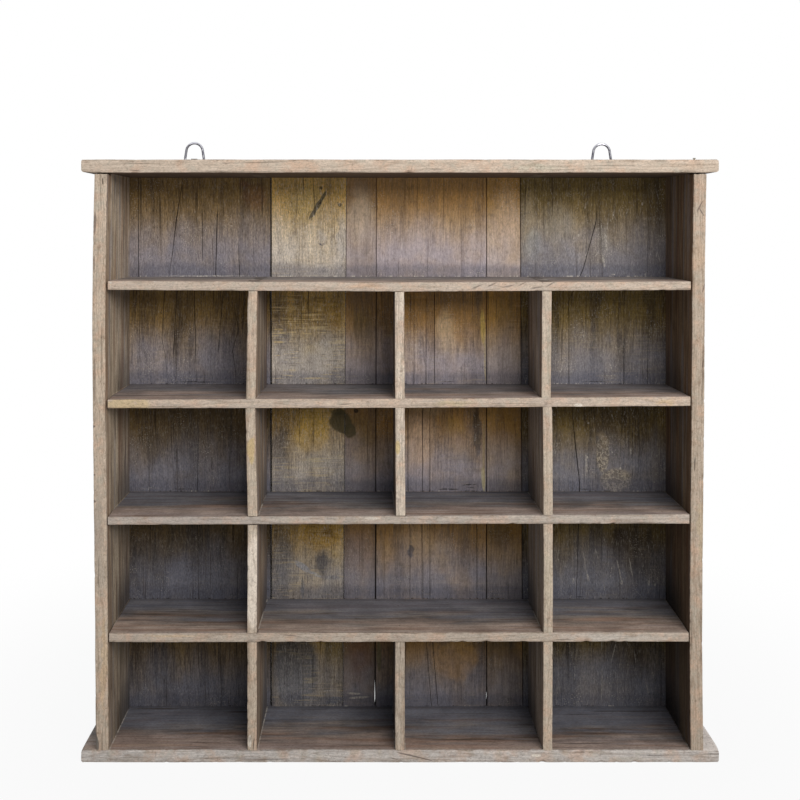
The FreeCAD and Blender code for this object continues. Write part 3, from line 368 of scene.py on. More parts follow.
def make_grain():
    """Long grain along its place's X. Bands, fibres and speckle are tones, and the others are marks."""
    group, wiring, place, start, end = new_effect(
        "wood_grain", ["Bands", "Fibres", "Speckle", "Rings", "Pores", "Flecks", "Checks", "Relief"],
        Wander=0.006, Across=60.0)
    x, y, z = wiring.split(place)
    speckle = wiring.drawn_out(place, (300, 760, 760), 2.0, 0.8)
    drift = wiring.wander(wiring.stretched(place, (4, 9, 9)), 1.0, 1.0, start["Wander"])
    place = wiring.join(x, wiring.plus(y, drift), wiring.plus(z, drift))
    across = wiring.join(3.5, start["Across"], start["Across"])
    bands = wiring.cloud(wiring.vector("MULTIPLY", place, across), 1.0, 3.0, 0.6)
    fibres = wiring.drawn_out(place, (34, 620, 620), 3.0, 0.62)
    short = wiring.drawn_out(place, (170, 1000, 1000), 2.0, 0.6)
    rings = wiring.times(wiring.drawn_out(place, (2.2, 36, 36), 2.0, 0.55), 15.0)
    pores = wiring.fade(short, 0.58, 0.70)
    checks = wiring.fade(wiring.drawn_out(place, (8, 330, 330), 1.0), 0.66, 0.72)
    relief = wiring.plus(wiring.times(fibres, 0.7), wiring.times(bands, 0.3))
    relief = wiring.minus(wiring.minus(relief, wiring.times(checks, 0.6)), wiring.times(pores, 0.25))
    wiring.give(end, {"Bands": bands, "Fibres": fibres, "Speckle": speckle, "Pores": pores, "Checks": checks,
                      "Rings": wiring.fade(wiring.value("PINGPONG", rings, 0.5), 0.16, 0.0),
                      "Flecks": wiring.fade(short, 0.44, 0.32), "Relief": relief})
    return group


def make_row_dust_and_light():
    """Marks that every row of cubbies has: dust haze low down, which is also painted cool light, its darker
    foot of dirt and painted shade, and a dust line on the shelf with painted shade in its crease.
    """
    group, wiring, place, start, end = new_effect(
        "row_dust_and_light", ["Dust And Cool Light", "Foot Dirt And Shade", "Dust Line And Crease Shade", "Height"], Clear=0.075, Full=0.02, Raggedness=0.03)
    height = wiring.minus(wiring.split(place)[2], LOWEST_FLOOR)
    height = wiring.value("FLOORED_MODULO", height, ROW_PITCH)
    ragged = wiring.wander(wiring.stretched(place, (22, 22, 12)), 1.0, 3.0, start["Raggedness"], 0.6)
    broken = wiring.fade(wiring.drawn_out(place, (260, 260, 20), 4.0, 0.75), 0.52, 0.62)
    # Haze is dust and painted cool light, Foot is dirt and painted shade in the corner, Dust Line is dust
    # with painted shade in the crease
    wiring.give(end, {"Dust And Cool Light": wiring.fade(wiring.plus(height, ragged), start["Clear"], start["Full"]),
                      "Foot Dirt And Shade": wiring.fade(wiring.plus(height, wiring.times(ragged, 0.15)), 0.020, 0.009),
                      "Dust Line And Crease Shade": wiring.times(wiring.fade(height, 0.0018, 0.0006), broken),
                      "Height": height})
    return group


def make_stain():
    """A soft oval patch round a middle, as a mask."""
    group, wiring, place, start, end = new_effect("stain", ["Mask"], Reach=(1, 1, 1), Core=0.5)
    offset = wiring.vector("DIVIDE", place, start["Reach"])
    wiring.give(end, {"Mask": wiring.fade(wiring.length(offset), 1.0, start["Core"])})
    return group


def make_scratches():
    """Short broken scratches in two slanting directions, in patches."""
    group, wiring, place, start, end = new_effect("scratches", ["Scratches"], Lean=0.6)
    masks = []
    for side, shift in ((1, 0.0), (-0.6, 0.7)):
        inputs = {"Vector": place, "Angle": wiring.times(start["Lean"], side)}
        turned = wiring.add("ShaderNodeVectorRotate", inputs, rotation_type="Y_AXIS").outputs[0]
        thin = wiring.drawn_out(turned, (420, 420, 30), 2.0, 0.6, (shift, 0, 0))
        masks.append(wiring.fade(thin, 0.62, 0.70))
    patches = wiring.fade(wiring.cloud(place, 24.0), 0.48, 0.62)
    broken = wiring.fade(wiring.cloud(place, 380.0, 2.0, 0.7), 0.46, 0.56)
    wiring.give(end, {"Scratches": wiring.times(wiring.most(*masks), broken, patches)})
    return group


def make_saw_marks():
    """Rough stripes that a saw left across a plank, and pale specks, in patches, and the curls of bark."""
    group, wiring, place, _, end = new_effect("saw_marks", ["Ridges", "Grooves", "Specks", "Curls"])
    stripes = wiring.drawn_out(place, (26, 26, 560), 3.0, 0.65)
    rough = wiring.cloud(wiring.stretched(place, (1, 1, 1), (5, 0, 3)), 30.0, 3.0, 0.6)
    rough = wiring.fade(rough, 0.42, 0.58)
    dust_and_cool_strength = wiring.cloud(wiring.stretched(place, (1, 1, 1), (7, 0, 1)), 26.0, 2.0, 0.6)
    dust_and_cool_strength = wiring.fade(dust_and_cool_strength, 0.52, 0.64)
    specks = wiring.fade(wiring.cloud(place, 640.0, 1.0), 0.60, 0.68)
    curls = wiring.value("ABSOLUTE", wiring.minus(wiring.cloud(place, 190.0, 3.0, 0.6), 0.5))
    wiring.give(end, {"Ridges": wiring.times(wiring.fade(stripes, 0.53, 0.64), rough),
                      "Grooves": wiring.times(wiring.fade(stripes, 0.47, 0.38), rough),
                      "Specks": wiring.times(specks, dust_and_cool_strength), "Curls": wiring.fade(curls, 0.07, 0.01)})
    return group


def make_front_wear():
    """Mask of the boards' front edges, rubbed paler than the faces behind them, and the depth behind them."""
    group, wiring, place, start, end = new_effect("front_wear", ["Edge", "Depth"], Reach=0.004)
    depth = wiring.minus(wiring.split(place)[1], FRONT_PLANE)
    here = wiring.plus(depth, wiring.wander(place, 160.0, 2.0, 0.006))
    wiring.give(end, {"Edge": wiring.fade(here, start["Reach"], 0.0005), "Depth": depth})
    return group


def make_metal_wear():
    """Tone and dark specks of small bare or plated metal parts."""
    group, wiring, place, _, end = new_effect("metal_wear", ["Tone", "Specks"])
    wiring.give(end, {"Tone": wiring.cloud(place, 260.0, 3.0, 0.6),
                      "Specks": wiring.fade(wiring.cloud(place, 1100.0), 0.62, 0.74)})
    return group


def make_foot_shade():
    """Share of its colour that wood keeps, as painted shade: the case is lighter high up and darker towards
    its foot.
    """
    group, wiring, place, start, end = new_effect("foot_shade", ["Share"], Left=0.6)
    height = wiring.plus(wiring.split(place)[2], wiring.wander(place, 9.0, 2.0, 0.15))
    share = wiring.add("ShaderNodeMapRange", {"Value": height, "From Min": 0.05, "From Max": 0.58,
                                              "To Min": start["Left"], "To Max": 1.0})
    wiring.give(end, {"Share": share.outputs[0]})
    return group


GRAIN = make_grain()
# Painted shade that darkens the case towards its foot; with Left at 0 it is also a plain mask of height
FOOT_SHADE = make_foot_shade()
ROW_DUST_AND_LIGHT = make_row_dust_and_light()
STAIN = make_stain()
SCRATCHES = make_scratches()
SAW_MARKS = make_saw_marks()
FRONT_WEAR = make_front_wear()
METAL_WEAR = make_metal_wear()

# How far the outline of a narrow stain and of a broad one strays
FINE_STRAY = 0.002
BROAD_STRAY = 0.016

# A stain whose smaller half size in mm is below this is narrow
NARROW_MM = 4


def new_finish(name, roughness):
    """A material with one Principled shader, the wiring in it, and its Object coordinates."""
    finish = bpy.data.materials.new(name)
    finish.use_nodes = True
    wiring = Wiring(finish.node_tree)
    shader = finish.node_tree.nodes["Principled BSDF"]
    shader.inputs["Roughness"].default_value = roughness
    return finish, wiring, shader, wiring.add("ShaderNodeTexCoord").outputs["Object"]


def add_stains(wiring, colour, place, stains, worn=1.0):
    """Lays the stains of a table over a colour, rubbed away where worn is low."""
    x, _, z = wiring.split(place)
    warp = wiring.minus(wiring.cloud(place, 55.0, 2.0, 0.6), 0.5)
    strayed = {}
    for stray in (FINE_STRAY, BROAD_STRAY):
        shift = wiring.times(warp, stray)
        strayed[stray] = wiring.join(wiring.plus(x, shift), 0.0, wiring.minus(z, shift))
    for across, up, wide, high, lean, shade, strength in stains:
        stray = FINE_STRAY if min(wide, high) < NARROW_MM else BROAD_STRAY
        inputs = {"Vector": strayed[stray], "Location": (across * MM, 0, up * MM),
                  "Rotation": (0, math.radians(lean), 0)}
        spot = wiring.add("ShaderNodeMapping", inputs, vector_type="TEXTURE").outputs[0]
        core = 0.3 if wide > 6 and strength < 0.75 else 0.7
        inputs = {"Place": spot, "Reach": (wide * MM, 1, high * MM), "Core": core}
        colour = wiring.lay(colour, shade, wiring.effect(STAIN, inputs)["Mask"], strength, worn)
    return colour


# Palette

STRAW = paint(204, 178, 116)
OCHRE = paint(184, 146, 78)
GOLD = paint(198, 152, 90)
OLIVE = paint(122, 102, 58)
UMBER = paint(58, 46, 36)
# DARK_HOLE is painted shade: the dark of cracks, seams, holes and the creases above the shelves
DARK_HOLE = paint(26, 21, 18)
PINK_GREY = paint(176, 158, 150)
COOL_GREY = paint(150, 150, 158)
BLUE_GREY = paint(112, 116, 134)
CHALK = paint(216, 208, 196)
BARK = paint(150, 128, 100)
RUSSET = paint(128, 88, 62)
# Dust low in the case, which is also painted cool light
LOW_DUST_AND_COOL_LIGHT = paint(130, 134, 150)

# Tones of each plank: light and dark wood, the tone high in a row, which is painted warm bounce light, and
# its dust, which low in a row is also painted cool light
PLANK_TONES = {
    1: (paint(172, 150, 122), paint(100, 84, 66), paint(154, 120, 54), paint(142, 138, 148)),
    2: (paint(236, 212, 170), paint(166, 140, 98), paint(230, 180, 70), paint(204, 197, 192)),
    3: (paint(196, 168, 136), paint(150, 124, 96), paint(176, 128, 60), paint(176, 165, 168)),
    4: (paint(208, 178, 142), paint(156, 128, 96), paint(192, 138, 56), paint(184, 174, 182)),
    5: (paint(208, 178, 136), paint(166, 134, 92), paint(196, 142, 52), paint(190, 178, 180)),
    6: (paint(160, 142, 114), paint(94, 80, 60), paint(142, 116, 48), paint(136, 134, 142)),
}

# How strong each plank's dust with its painted cool light, dark marks, pale flecks, scratches, saw marks and
# fine speckle are
PLANK_MARKS = {
    1: (0.75, 0.6, 0.2, 0.15, 0.12, 0.30),
    2: (0.65, 0.6, 0.5, 0.1, 1.0, 0.36),
    3: (0.75, 0.3, 0.1, 0.2, 0.15, 0.20),
    4: (0.78, 0.35, 0.1, 0.3, 0.2, 0.22),
    5: (0.72, 0.3, 0.1, 0.2, 0.2, 0.20),
    6: (0.75, 0.5, 0.25, 0.7, 0.15, 0.28),
}

# Planks with patches of bark left on them: x, z, half width and half height in mm
BARK_PATCHES = {6: [(246, 316, 9, 26), (262, 285, 21, 16)]}

# Stains by plank: x, z, half width, half height in mm, lean in degrees, paint, strength
PLANK_STAINS = {
    1: [
        (-245, 330, 120, 90, 0, paint(84, 74, 62), 0.6), (-245, 190, 120, 80, 0, paint(72, 68, 64), 0.62),
        (-215, 560, 34, 24, 0, paint(150, 142, 146), 0.35),
        (-262, 175, 34, 26, 0, paint(104, 106, 124), 0.45), (-250, 30, 40, 18, 0, paint(96, 98, 122), 0.4),
        (-170, 625, 20, 22, 0, RUSSET, 0.5), (-300, 590, 16, 34, 0, BARK, 0.35),
        (-205, 620, 14, 26, 8, UMBER, 0.3), (-262, 470, 12, 40, 4, UMBER, 0.4),
        (-272, 563, 10, 11, 0, paint(108, 110, 126), 0.5), (-203, 538, 9, 7, 0, paint(152, 124, 118), 0.5),
        (-184, 640, 9, 6, 0, paint(124, 84, 62), 0.5), (-230, 529.7, 76, 0.9, 0, CHALK, 0.6),
        (-241, 402.6, 32, 1.1, 0, DARK_HOLE, 0.7), (-260, 274, 15, 0.9, 0, DARK_HOLE, 0.7),
        (-222, 440, 9, 36, -3, OLIVE, 0.5),
    ],
    2: [
        (-110, 618, 30, 30, 0, STRAW, 0.5), (-91.9, 635.2, 2.4, 2.4, 0, UMBER, 0.8),
        (-89.4, 625.0, 2.4, 9, 31, paint(98, 88, 64), 0.95),
        (-95.6, 614.5, 3.2, 12, 31, paint(98, 88, 64), 0.95),
        (-101.6, 604.5, 2.8, 9, 31, paint(90, 80, 60), 0.95), (-92.6, 619.0, 0.9, 9, 31, UMBER, 0.7),
        (-92.5, 617.0, 1.4, 1.8, 0, UMBER, 0.8), (-69.1, 614.8, 2.6, 2.6, 0, DARK_HOLE, 0.8),
        (-90, 576, 9, 9, 0, COOL_GREY, 0.35), (-94.4, 569.2, 3.4, 1.4, 36, paint(96, 94, 102), 0.75),
        (-87.0, 569.4, 3.4, 1.4, -34, paint(96, 94, 102), 0.75),
        (-90.6, 567.6, 3.4, 1.5, 0, paint(86, 84, 92), 0.85), (-68, 575, 7, 40, 0, COOL_GREY, 0.4),
        (-80, 482, 17, 22, 0, OCHRE, 0.8), (-142, 470, 20, 50, 0, paint(92, 84, 78), 0.65),
        (-90, 460, 12, 50, 0, paint(112, 90, 54), 0.5), (-106, 452, 50, 70, 0, paint(122, 106, 74), 0.5),
        (-136, 458, 12, 5, 0, paint(84, 80, 84), 0.6), (-131, 427, 12, 7, 0, paint(80, 80, 88), 0.6),
        (-142.8, 465.3, 7, 1.3, 0, paint(226, 200, 146), 0.75),
        (-142.5, 450.4, 8, 1.6, 0, paint(226, 200, 146), 0.75),
        (-144, 434.3, 5, 0.9, 0, paint(216, 192, 140), 0.6),
        (-147.5, 412, 2.4, 5, 0, paint(216, 192, 140), 0.6),
        (-76, 495.5, 10, 2.6, 0, paint(214, 176, 92), 0.7), (-78, 484, 7, 3, 0, paint(206, 168, 88), 0.6),
        (-100, 407, 24, 1.7, 0, paint(222, 200, 150), 0.55),
        (-84, 411.5, 12, 1.2, 0, paint(222, 200, 150), 0.5),
        (-135, 440, 16, 34, 0, paint(124, 114, 108), 0.5), (-146, 590, 12, 40, 0, paint(226, 206, 176), 0.3),
        (-95, 440, 32, 10, 0, STRAW, 0.5), (-103, 344, 25, 32, 0, paint(220, 180, 92), 0.75),
        (-141, 322, 14, 54, 0, paint(88, 82, 84), 0.7), (-97, 306, 28, 8, 0, paint(206, 190, 150), 0.55),
        (-135, 286, 5, 8, 0, paint(196, 182, 146), 0.6), (-98, 285, 32, 9, 0, paint(112, 102, 94), 0.5),
        (-92, 218, 27, 22, 0, paint(208, 164, 74), 0.85), (-84, 221, 11, 7, 0, paint(122, 90, 54), 0.6),
        (-138, 189, 18, 55, 0, paint(98, 98, 104), 0.72), (-73, 188, 8, 17, 0, paint(222, 188, 116), 0.7),
        (-101, 155, 11, 13, 0, paint(206, 172, 112), 0.7), (-78, 152, 12, 9, 0, paint(200, 168, 112), 0.5),
        (-78, 168, 13, 3.5, 0, paint(80, 84, 98), 0.7), (-114, 155, 2.5, 15, 0, paint(90, 92, 94), 0.6),
        (-114, 181, 13, 4.2, 33, paint(196, 198, 206), 0.8),
        (-99, 172, 9, 2.2, 20, paint(206, 208, 212), 0.8), (-122, 58, 32, 58, 0, paint(88, 93, 103), 0.8),
        (-80, 84, 20, 26, 0, paint(150, 134, 84), 0.4), (-78, 22, 13, 6, 0, paint(52, 58, 64), 0.9),
        (-84, 32, 16, 1.4, -4, CHALK, 0.5),
    ],
    3: [
        (-45, 610, 24, 30, 0, OCHRE, 0.3), (-45, 470, 22, 34, 0, OLIVE, 0.45),
        (-45, 340, 22, 34, 0, OLIVE, 0.45), (-49.5, 367.5, 3.2, 3.0, 0, UMBER, 0.85),
        (-45, 600, 22, 50, 0, paint(230, 206, 178), 0.6), (-45, 190, 24, 46, 0, paint(160, 132, 118), 0.5),
        (-45, 72, 20, 46, 0, paint(150, 106, 76), 0.7), (-53, 29, 10, 1.6, 3, CHALK, 0.9),
        (-46, 24, 14, 1.7, -3, CHALK, 0.8),
    ],
    4: [
        (66, 470, 44, 34, 0, GOLD, 0.7), (69, 425, 40, 18, 0, PINK_GREY, 0.4),
        (102.4, 468, 3.2, 25, -2, paint(226, 194, 104), 0.75),
        (104.6, 432, 1.3, 32, -1, paint(216, 198, 144), 0.6),
        (57, 458, 16, 42, 0, paint(246, 214, 170), 0.65), (60, 414, 46, 14, 0, paint(204, 184, 172), 0.4),
        (26, 325, 30, 56, 0, paint(238, 202, 168), 0.7), (40, 374, 40, 14, 0, paint(240, 204, 156), 0.45),
        (68, 346, 18, 18, 0, paint(196, 152, 70), 0.6), (80, 300, 20, 28, 0, paint(116, 116, 122), 0.5),
        (95.5, 342, 5, 36, 0, paint(62, 54, 40), 0.65), (-12, 194, 14, 26, 0, paint(212, 168, 104), 0.7),
        (24, 202, 30, 42, 0, paint(232, 194, 144), 0.65), (52, 190, 20, 48, 0, paint(218, 188, 150), 0.5),
        (60, 164, 60, 26, 0, paint(222, 192, 160), 0.6), (94, 190, 18, 56, 0, UMBER, 0.35),
        (100, 70, 16, 60, 0, UMBER, 0.35), (62, 274, 15, 0.9, -1, DARK_HOLE, 0.8),
        (86, 279.5, 11, 0.8, -4, DARK_HOLE, 0.8), (88, 276, 8, 0.7, 6, DARK_HOLE, 0.7),
        (60, 403, 11, 0.8, 0, DARK_HOLE, 0.7), (14.9, 200.5, 5.5, 8, 0, UMBER, 0.8),
        (71, 70, 32, 30, 0, paint(226, 172, 90), 0.75), (20, 40, 34, 28, 0, BLUE_GREY, 0.5),
        (-22, 30, 2.0, 14, 0, paint(150, 140, 110), 0.6),
    ],
    5: [
        (130, 600, 24, 50, 0, paint(222, 188, 150), 0.55), (127, 480, 22, 34, 0, OCHRE, 0.35),
        (128, 425, 22, 26, 0, paint(222, 194, 150), 0.55), (128, 408, 20, 16, 0, paint(236, 202, 164), 0.7),
        (127, 86, 22, 26, 0, paint(66, 60, 48), 0.35), (127, 350, 22, 34, 0, paint(150, 112, 56), 0.5),
        (127, 218, 22, 26, 0, paint(90, 68, 34), 0.6), (127, 100, 22, 26, 0, paint(92, 80, 60), 0.4),
    ],
    6: [
        (192, 590, 30, 36, 0, paint(190, 176, 150), 0.45), (158, 585, 14, 60, 0, paint(190, 172, 142), 0.5),
        (164, 566, 15, 26, 0, paint(176, 182, 176), 0.45), (248, 566, 12, 30, -5, paint(168, 160, 142), 0.4),
        (250, 573, 1.4, 17, -4, CHALK, 0.5), (247, 548, 1.7, 9, -8, CHALK, 0.5),
        (252, 592, 1.0, 9, 5, CHALK, 0.4), (217, 578, 1.6, 2.0, 0, CHALK, 0.6),
        (293.6, 616, 1.3, 2.4, 0, CHALK, 0.6), (258.5, 531.5, 2.6, 1.0, 0, CHALK, 0.9),
        (240, 190, 100, 60, 0, paint(86, 78, 68), 0.4), (245, 366, 90, 26, 0, UMBER, 0.4),
        (300, 330, 22, 60, 0, UMBER, 0.4), (256, 338, 22, 46, 0, UMBER, 0.6),
        (262, 195, 22, 48, 0, UMBER, 0.5), (282, 195, 36, 60, 0, UMBER, 0.6),
        (275, 80, 46, 60, 0, UMBER, 0.6), (225, 184, 0.8, 17, -9, CHALK, 0.5),
        (266, 176, 0.9, 17, -12, CHALK, 0.55), (269, 162, 1.7, 3, 0, CHALK, 0.6),
        (280, 180, 0.8, 15, -10, CHALK, 0.5), (228, 168, 1.4, 5, -6, CHALK, 0.55),
        (211, 164, 1.3, 4, 0, CHALK, 0.5), (239, 196, 0.7, 8, -16, CHALK, 0.35),
        (248, 157, 0.8, 6, -4, CHALK, 0.4), (301, 203, 0.6, 9, -8, CHALK, 0.3),
        (214, 196, 0.6, 8, -12, CHALK, 0.3), (302, 161, 1.0, 4, 0, CHALK, 0.55),
        (309, 159, 1.2, 2, 0, CHALK, 0.5), (245, 92, 0.7, 14, 2, CHALK, 0.5),
        (245, 40, 0.8, 22, 1, CHALK, 0.5), (259, 76, 0.8, 13, 14, CHALK, 0.5),
        (285, 72, 0.8, 9, -9, CHALK, 0.5), (299, 38, 0.8, 12, -12, CHALK, 0.45),
        (180, 470, 20, 60, 0, UMBER, 0.3), (246, 332, 8, 12, 0, paint(190, 160, 104), 0.6),
        (226.3, 305, 1.5, 14, -3, CHALK, 0.5), (227.5, 312, 1.2, 2.0, 0, CHALK, 0.8),
        (266.7, 299, 1.8, 1.6, 0, CHALK, 0.8), (248, 372, 1.0, 2.4, 0, CHALK, 0.7),
        (229, 353, 1.3, 1.3, 0, CHALK, 0.7), (280, 320, 1.2, 5, 4, CHALK, 0.5),
        (238, 403, 21, 0.9, 0, DARK_HOLE, 0.7), (225, 274, 13, 0.9, 0, DARK_HOLE, 0.7),
        (219, 145, 8, 0.9, 0, DARK_HOLE, 0.7), (269.1, 219.1, 16, 12, 0, UMBER, 0.7),
        (240, 45, 100, 36, 0, BLUE_GREY, 0.3),
    ],
}

# Knots and marks that no saw mark or dust covers
KNOT_WOOD = paint(98, 88, 62)
PLANK_KNOTS = {
    2: [(-67.3, 354, 15, 15, 0, KNOT_WOOD, 0.9), (-58, 345, 9, 10, 0, KNOT_WOOD, 0.9),
        (-71, 366, 9, 6, 0, KNOT_WOOD, 0.85), (-88.6, 184, 14, 22, 0, paint(74, 78, 92), 0.7)],
    3: [(-67.3, 354, 15, 15, 0, KNOT_WOOD, 0.9), (-58, 345, 9, 10, 0, KNOT_WOOD, 0.9)],
    4: [(103.4, 320, 1.7, 50, 0, paint(182, 160, 108), 0.5),
        (102.6, 286, 2.6, 17, -4, paint(220, 206, 156), 0.6),
        (-22.4, 74, 3.2, 22, 0, paint(146, 138, 98), 0.65)],
}

# Marks on the boards' front edges, given like the planks' stains
WORN_GREY = paint(112, 100, 94)
BARE_WOOD = paint(240, 230, 216)
BOARD_STAINS = {
    "top_board": [
        (-110, 656, 30, 5, 0, paint(206, 176, 152), 0.5), (150, 653, 40, 4, 0, paint(190, 186, 166), 0.5),
        (320, 655, 26, 6, 0, paint(204, 180, 158), 0.5), (-290, 650, 9, 0.9, 4, WORN_GREY, 0.7),
        (40, 651, 12, 0.8, -3, WORN_GREY, 0.6), (230, 659, 10, 0.8, 3, WORN_GREY, 0.6),
        (-190, 658, 8, 0.7, -4, WORN_GREY, 0.6),
    ],
    "bottom_board": [
        (150, 7.9, 6.5, 1.7, 0, BARE_WOOD, 0.9), (8, 8.5, 14, 0.9, 12, WORN_GREY, 0.8),
        (24, 5.0, 14, 0.8, 14, WORN_GREY, 0.8), (-6, 4.0, 9, 0.7, 16, WORN_GREY, 0.7),
        (-300, 5, 30, 5, 0, paint(168, 158, 148), 0.6), (-160, 3, 22, 2.4, 0, WORN_GREY, 0.4),
        (250, 4, 30, 3, 0, paint(186, 178, 164), 0.5),
    ],
    "shelf_1": [
        (84, 522.4, 9, 1.3, -22, WORN_GREY, 0.7), (101, 524.6, 8, 1.1, -26, WORN_GREY, 0.7),
        (119, 523.0, 9, 1.2, -14, WORN_GREY, 0.7), (134, 525.2, 7, 0.9, -24, WORN_GREY, 0.7),
        (150, 521.4, 9, 1.3, -10, WORN_GREY, 0.7), (165, 525.0, 8, 1.0, -28, WORN_GREY, 0.7),
        (-40, 523, 26, 4, 0, paint(216, 180, 150), 0.6), (-317.8, 526.6, 1.3, 1.0, 0, CHALK, 0.9),
        (-317.6, 522.6, 0.8, 1.4, 0, CHALK, 0.7), (-269, 528.2, 1.3, 0.8, 0, CHALK, 0.9),
        (300, 526, 12, 2, 0, paint(150, 132, 118), 0.5),
    ],
    "shelf_2": [
        (-300, 395, 28, 9, 0, paint(212, 188, 148), 0.8), (60, 393, 30, 5, 0, paint(206, 190, 152), 0.5),
        (-60, 393.5, 12, 1.0, -3, WORN_GREY, 0.7), (196, 392, 5, 2.6, 0, BARE_WOOD, 0.8),
        (290, 396, 16, 4, 0, paint(214, 184, 144), 0.6),
    ],
    "shelf_3": [
        (-240, 266, 90, 8, 0, paint(178, 168, 162), 0.5), (-30, 268, 12, 2.2, 0, BARE_WOOD, 0.6),
        (190, 262, 60, 4, 0, paint(172, 164, 156), 0.5),
    ],
    "shelf_4": [
        (230, 138, 90, 6, 0, paint(206, 198, 188), 0.6), (-250, 139, 40, 2, 0, paint(216, 190, 158), 0.6),
        (-120, 139.5, 14, 0.9, 4, WORN_GREY, 0.7), (180, 135, 16, 1.0, -3, WORN_GREY, 0.6),
    ],
    "left_side": [
        (-326.6, 638.5, 0.8, 4.2, 0, UMBER, 0.8), (-335.2, 592, 1.8, 14, 3, WORN_GREY, 0.7),
        (-336, 548, 1.8, 10, 0, WORN_GREY, 0.5), (-337, 369, 3, 1.4, 0, WORN_GREY, 0.8),
        (-337, 316, 3, 1.2, 0, WORN_GREY, 0.8), (-336.6, 287, 3, 1.8, 0, WORN_GREY, 0.8),
        (-335.5, 420, 1.6, 30, 0, WORN_GREY, 0.5), (-331, 262, 9, 50, 0, paint(172, 160, 148), 0.6),
        (-328, 205, 8, 40, 0, paint(180, 168, 154), 0.5), (-326, 110, 4, 60, 0, paint(216, 188, 152), 0.5),
        (-334.2, 24, 3.6, 13, -14, paint(112, 108, 104), 0.9),
    ],
    "right_side": [
        (329.4, 610, 0.8, 8, 26, WORN_GREY, 0.8), (331.4, 604, 0.8, 6, -30, WORN_GREY, 0.8),
        (333.0, 521, 0.8, 6, 12, WORN_GREY, 0.8), (332.6, 438, 0.8, 6, 12, WORN_GREY, 0.8),
        (323.6, 328, 0.9, 10, 0, UMBER, 0.7), (331, 250, 6, 40, 0, paint(196, 176, 146), 0.5),
        (328, 560, 8, 26, 0, paint(206, 178, 152), 0.5),
    ],
    "left_divider": [
        (-164.8, 23, 2.4, 8, 0, BARE_WOOD, 0.8), (-160.6, 20, 0.8, 8, 6, UMBER, 0.7),
        (-163, 343, 5, 18, 0, paint(208, 182, 124), 0.6), (-162, 460, 6, 30, 0, paint(204, 176, 156), 0.4),
        (-162, 200, 12, 60, 0, paint(246, 232, 216), 0.85),
    ],
    "right_divider": [
        (162, 200, 6, 40, 0, paint(206, 192, 168), 0.4), (163, 450, 2, 40, 0, paint(176, 168, 150), 0.5),
    ],
    "upper_middle_divider": [
        (-2.6, 346, 3.2, 9, 0, paint(216, 186, 116), 0.6), (0, 470, 6, 20, 0, paint(206, 180, 158), 0.4),
    ],
}

# Front edge, clean face and dirty face of each board. The tones are set board by board, and part of their
# differences is painted light and shade: boards that look lit got lighter tones, shaded ones darker.
BOARD_TONES = {
    "top_board": (paint(217, 199, 181), paint(196, 178, 156), paint(150, 134, 116)),
    "bottom_board": (paint(214, 206, 199), paint(164, 156, 154), paint(128, 121, 121)),
    "left_side": (paint(214, 195, 175), paint(218, 200, 176), paint(152, 134, 114)),
    "right_side": (paint(196, 179, 161), paint(160, 136, 108), paint(106, 86, 64)),
    "left_divider": (paint(214, 197, 177), paint(186, 168, 148), paint(128, 112, 96)),
    "right_divider": (paint(210, 194, 175), paint(226, 208, 190), paint(160, 144, 128)),
    "upper_middle_divider": (paint(232, 216, 198), paint(144, 126, 108), paint(92, 78, 64)),
    "lower_middle_divider": (paint(206, 190, 172), paint(144, 130, 116), paint(102, 90, 78)),
    "shelf_1": (paint(205, 187, 169), paint(224, 212, 204), paint(188, 176, 168)),
    "shelf_2": (paint(211, 192, 173), paint(196, 187, 184), paint(156, 147, 145)),
    "shelf_3": (paint(200, 187, 174), paint(174, 168, 166), paint(132, 126, 125)),
    "shelf_4": (paint(200, 185, 169), paint(188, 177, 169), paint(143, 132, 126)),
}

# Share of its tone that an upright's face keeps near the foot of the case, as painted shade
FOOT_SHADE_SHARES = {"left_side": 0.76, "right_side": 0.5}

# The side on which a side board faces away from the cubbies
OUTWARD = {"left_side": -1, "right_side": 1}

# Turns the grain upright
UPRIGHT_TURN = (0, math.radians(90), 0)

# Half the thickness of a side and of a divider, as the joint lines on the shelves show it
SIDE_HALF = 0.007
DIVIDER_HALF = 0.00525


# Finishes

def upright_face(wiring, name, place, face, depth, facing, dust_and_cool_share):
    """An upright's face: dust haze low in each row that is also painted cool light, rusty at the front,
    painted shade low in the case and in each row's back corner, and painted shade on the faces that face
    left.
    """
    row = wiring.effect(ROW_DUST_AND_LIGHT, {"Place": place, "Clear": 0.09, "Full": 0.0, "Raggedness": 0.06})
    height = wiring.split(place)[2]
    inside = 1.0
    if name in OUTWARD:
        inside = wiring.fade(facing[0], 0.4 * OUTWARD[name], 0.6 * OUTWARD[name], 1.0, 0.0)
    # Dust haze low in each row towards the back, which is also painted cool light
    face = wiring.lay(face, BLUE_GREY, row["Dust And Cool Light"], wiring.fade(depth, 0.03, 0.1), inside, dust_and_cool_share)
    face = wiring.lay(face, RUSSET, wiring.fade(depth, 0.03, 0.006, 0.0, 0.35))
    # Painted shade in the back corner at the foot of each row
    corner = wiring.times(wiring.fade(row["Height"], 0.06, 0.005), wiring.fade(depth, 0.012, 0.06),
                          wiring.fade(height, 0.56, 0.40, 0.0, 0.45), inside)
    # Painted shade: darker towards the case's foot
    unshaded_share = wiring.minus(wiring.fade(height, 0.1, 0.36, FOOT_SHADE_SHARES.get(name, 0.85), 1.0), corner)
    # Painted shade: faces that face left are darker
    return wiring.dim(wiring.dim(face, unshaded_share), wiring.fade(facing[0], -0.5, 0.5, 0.82, 1.0))


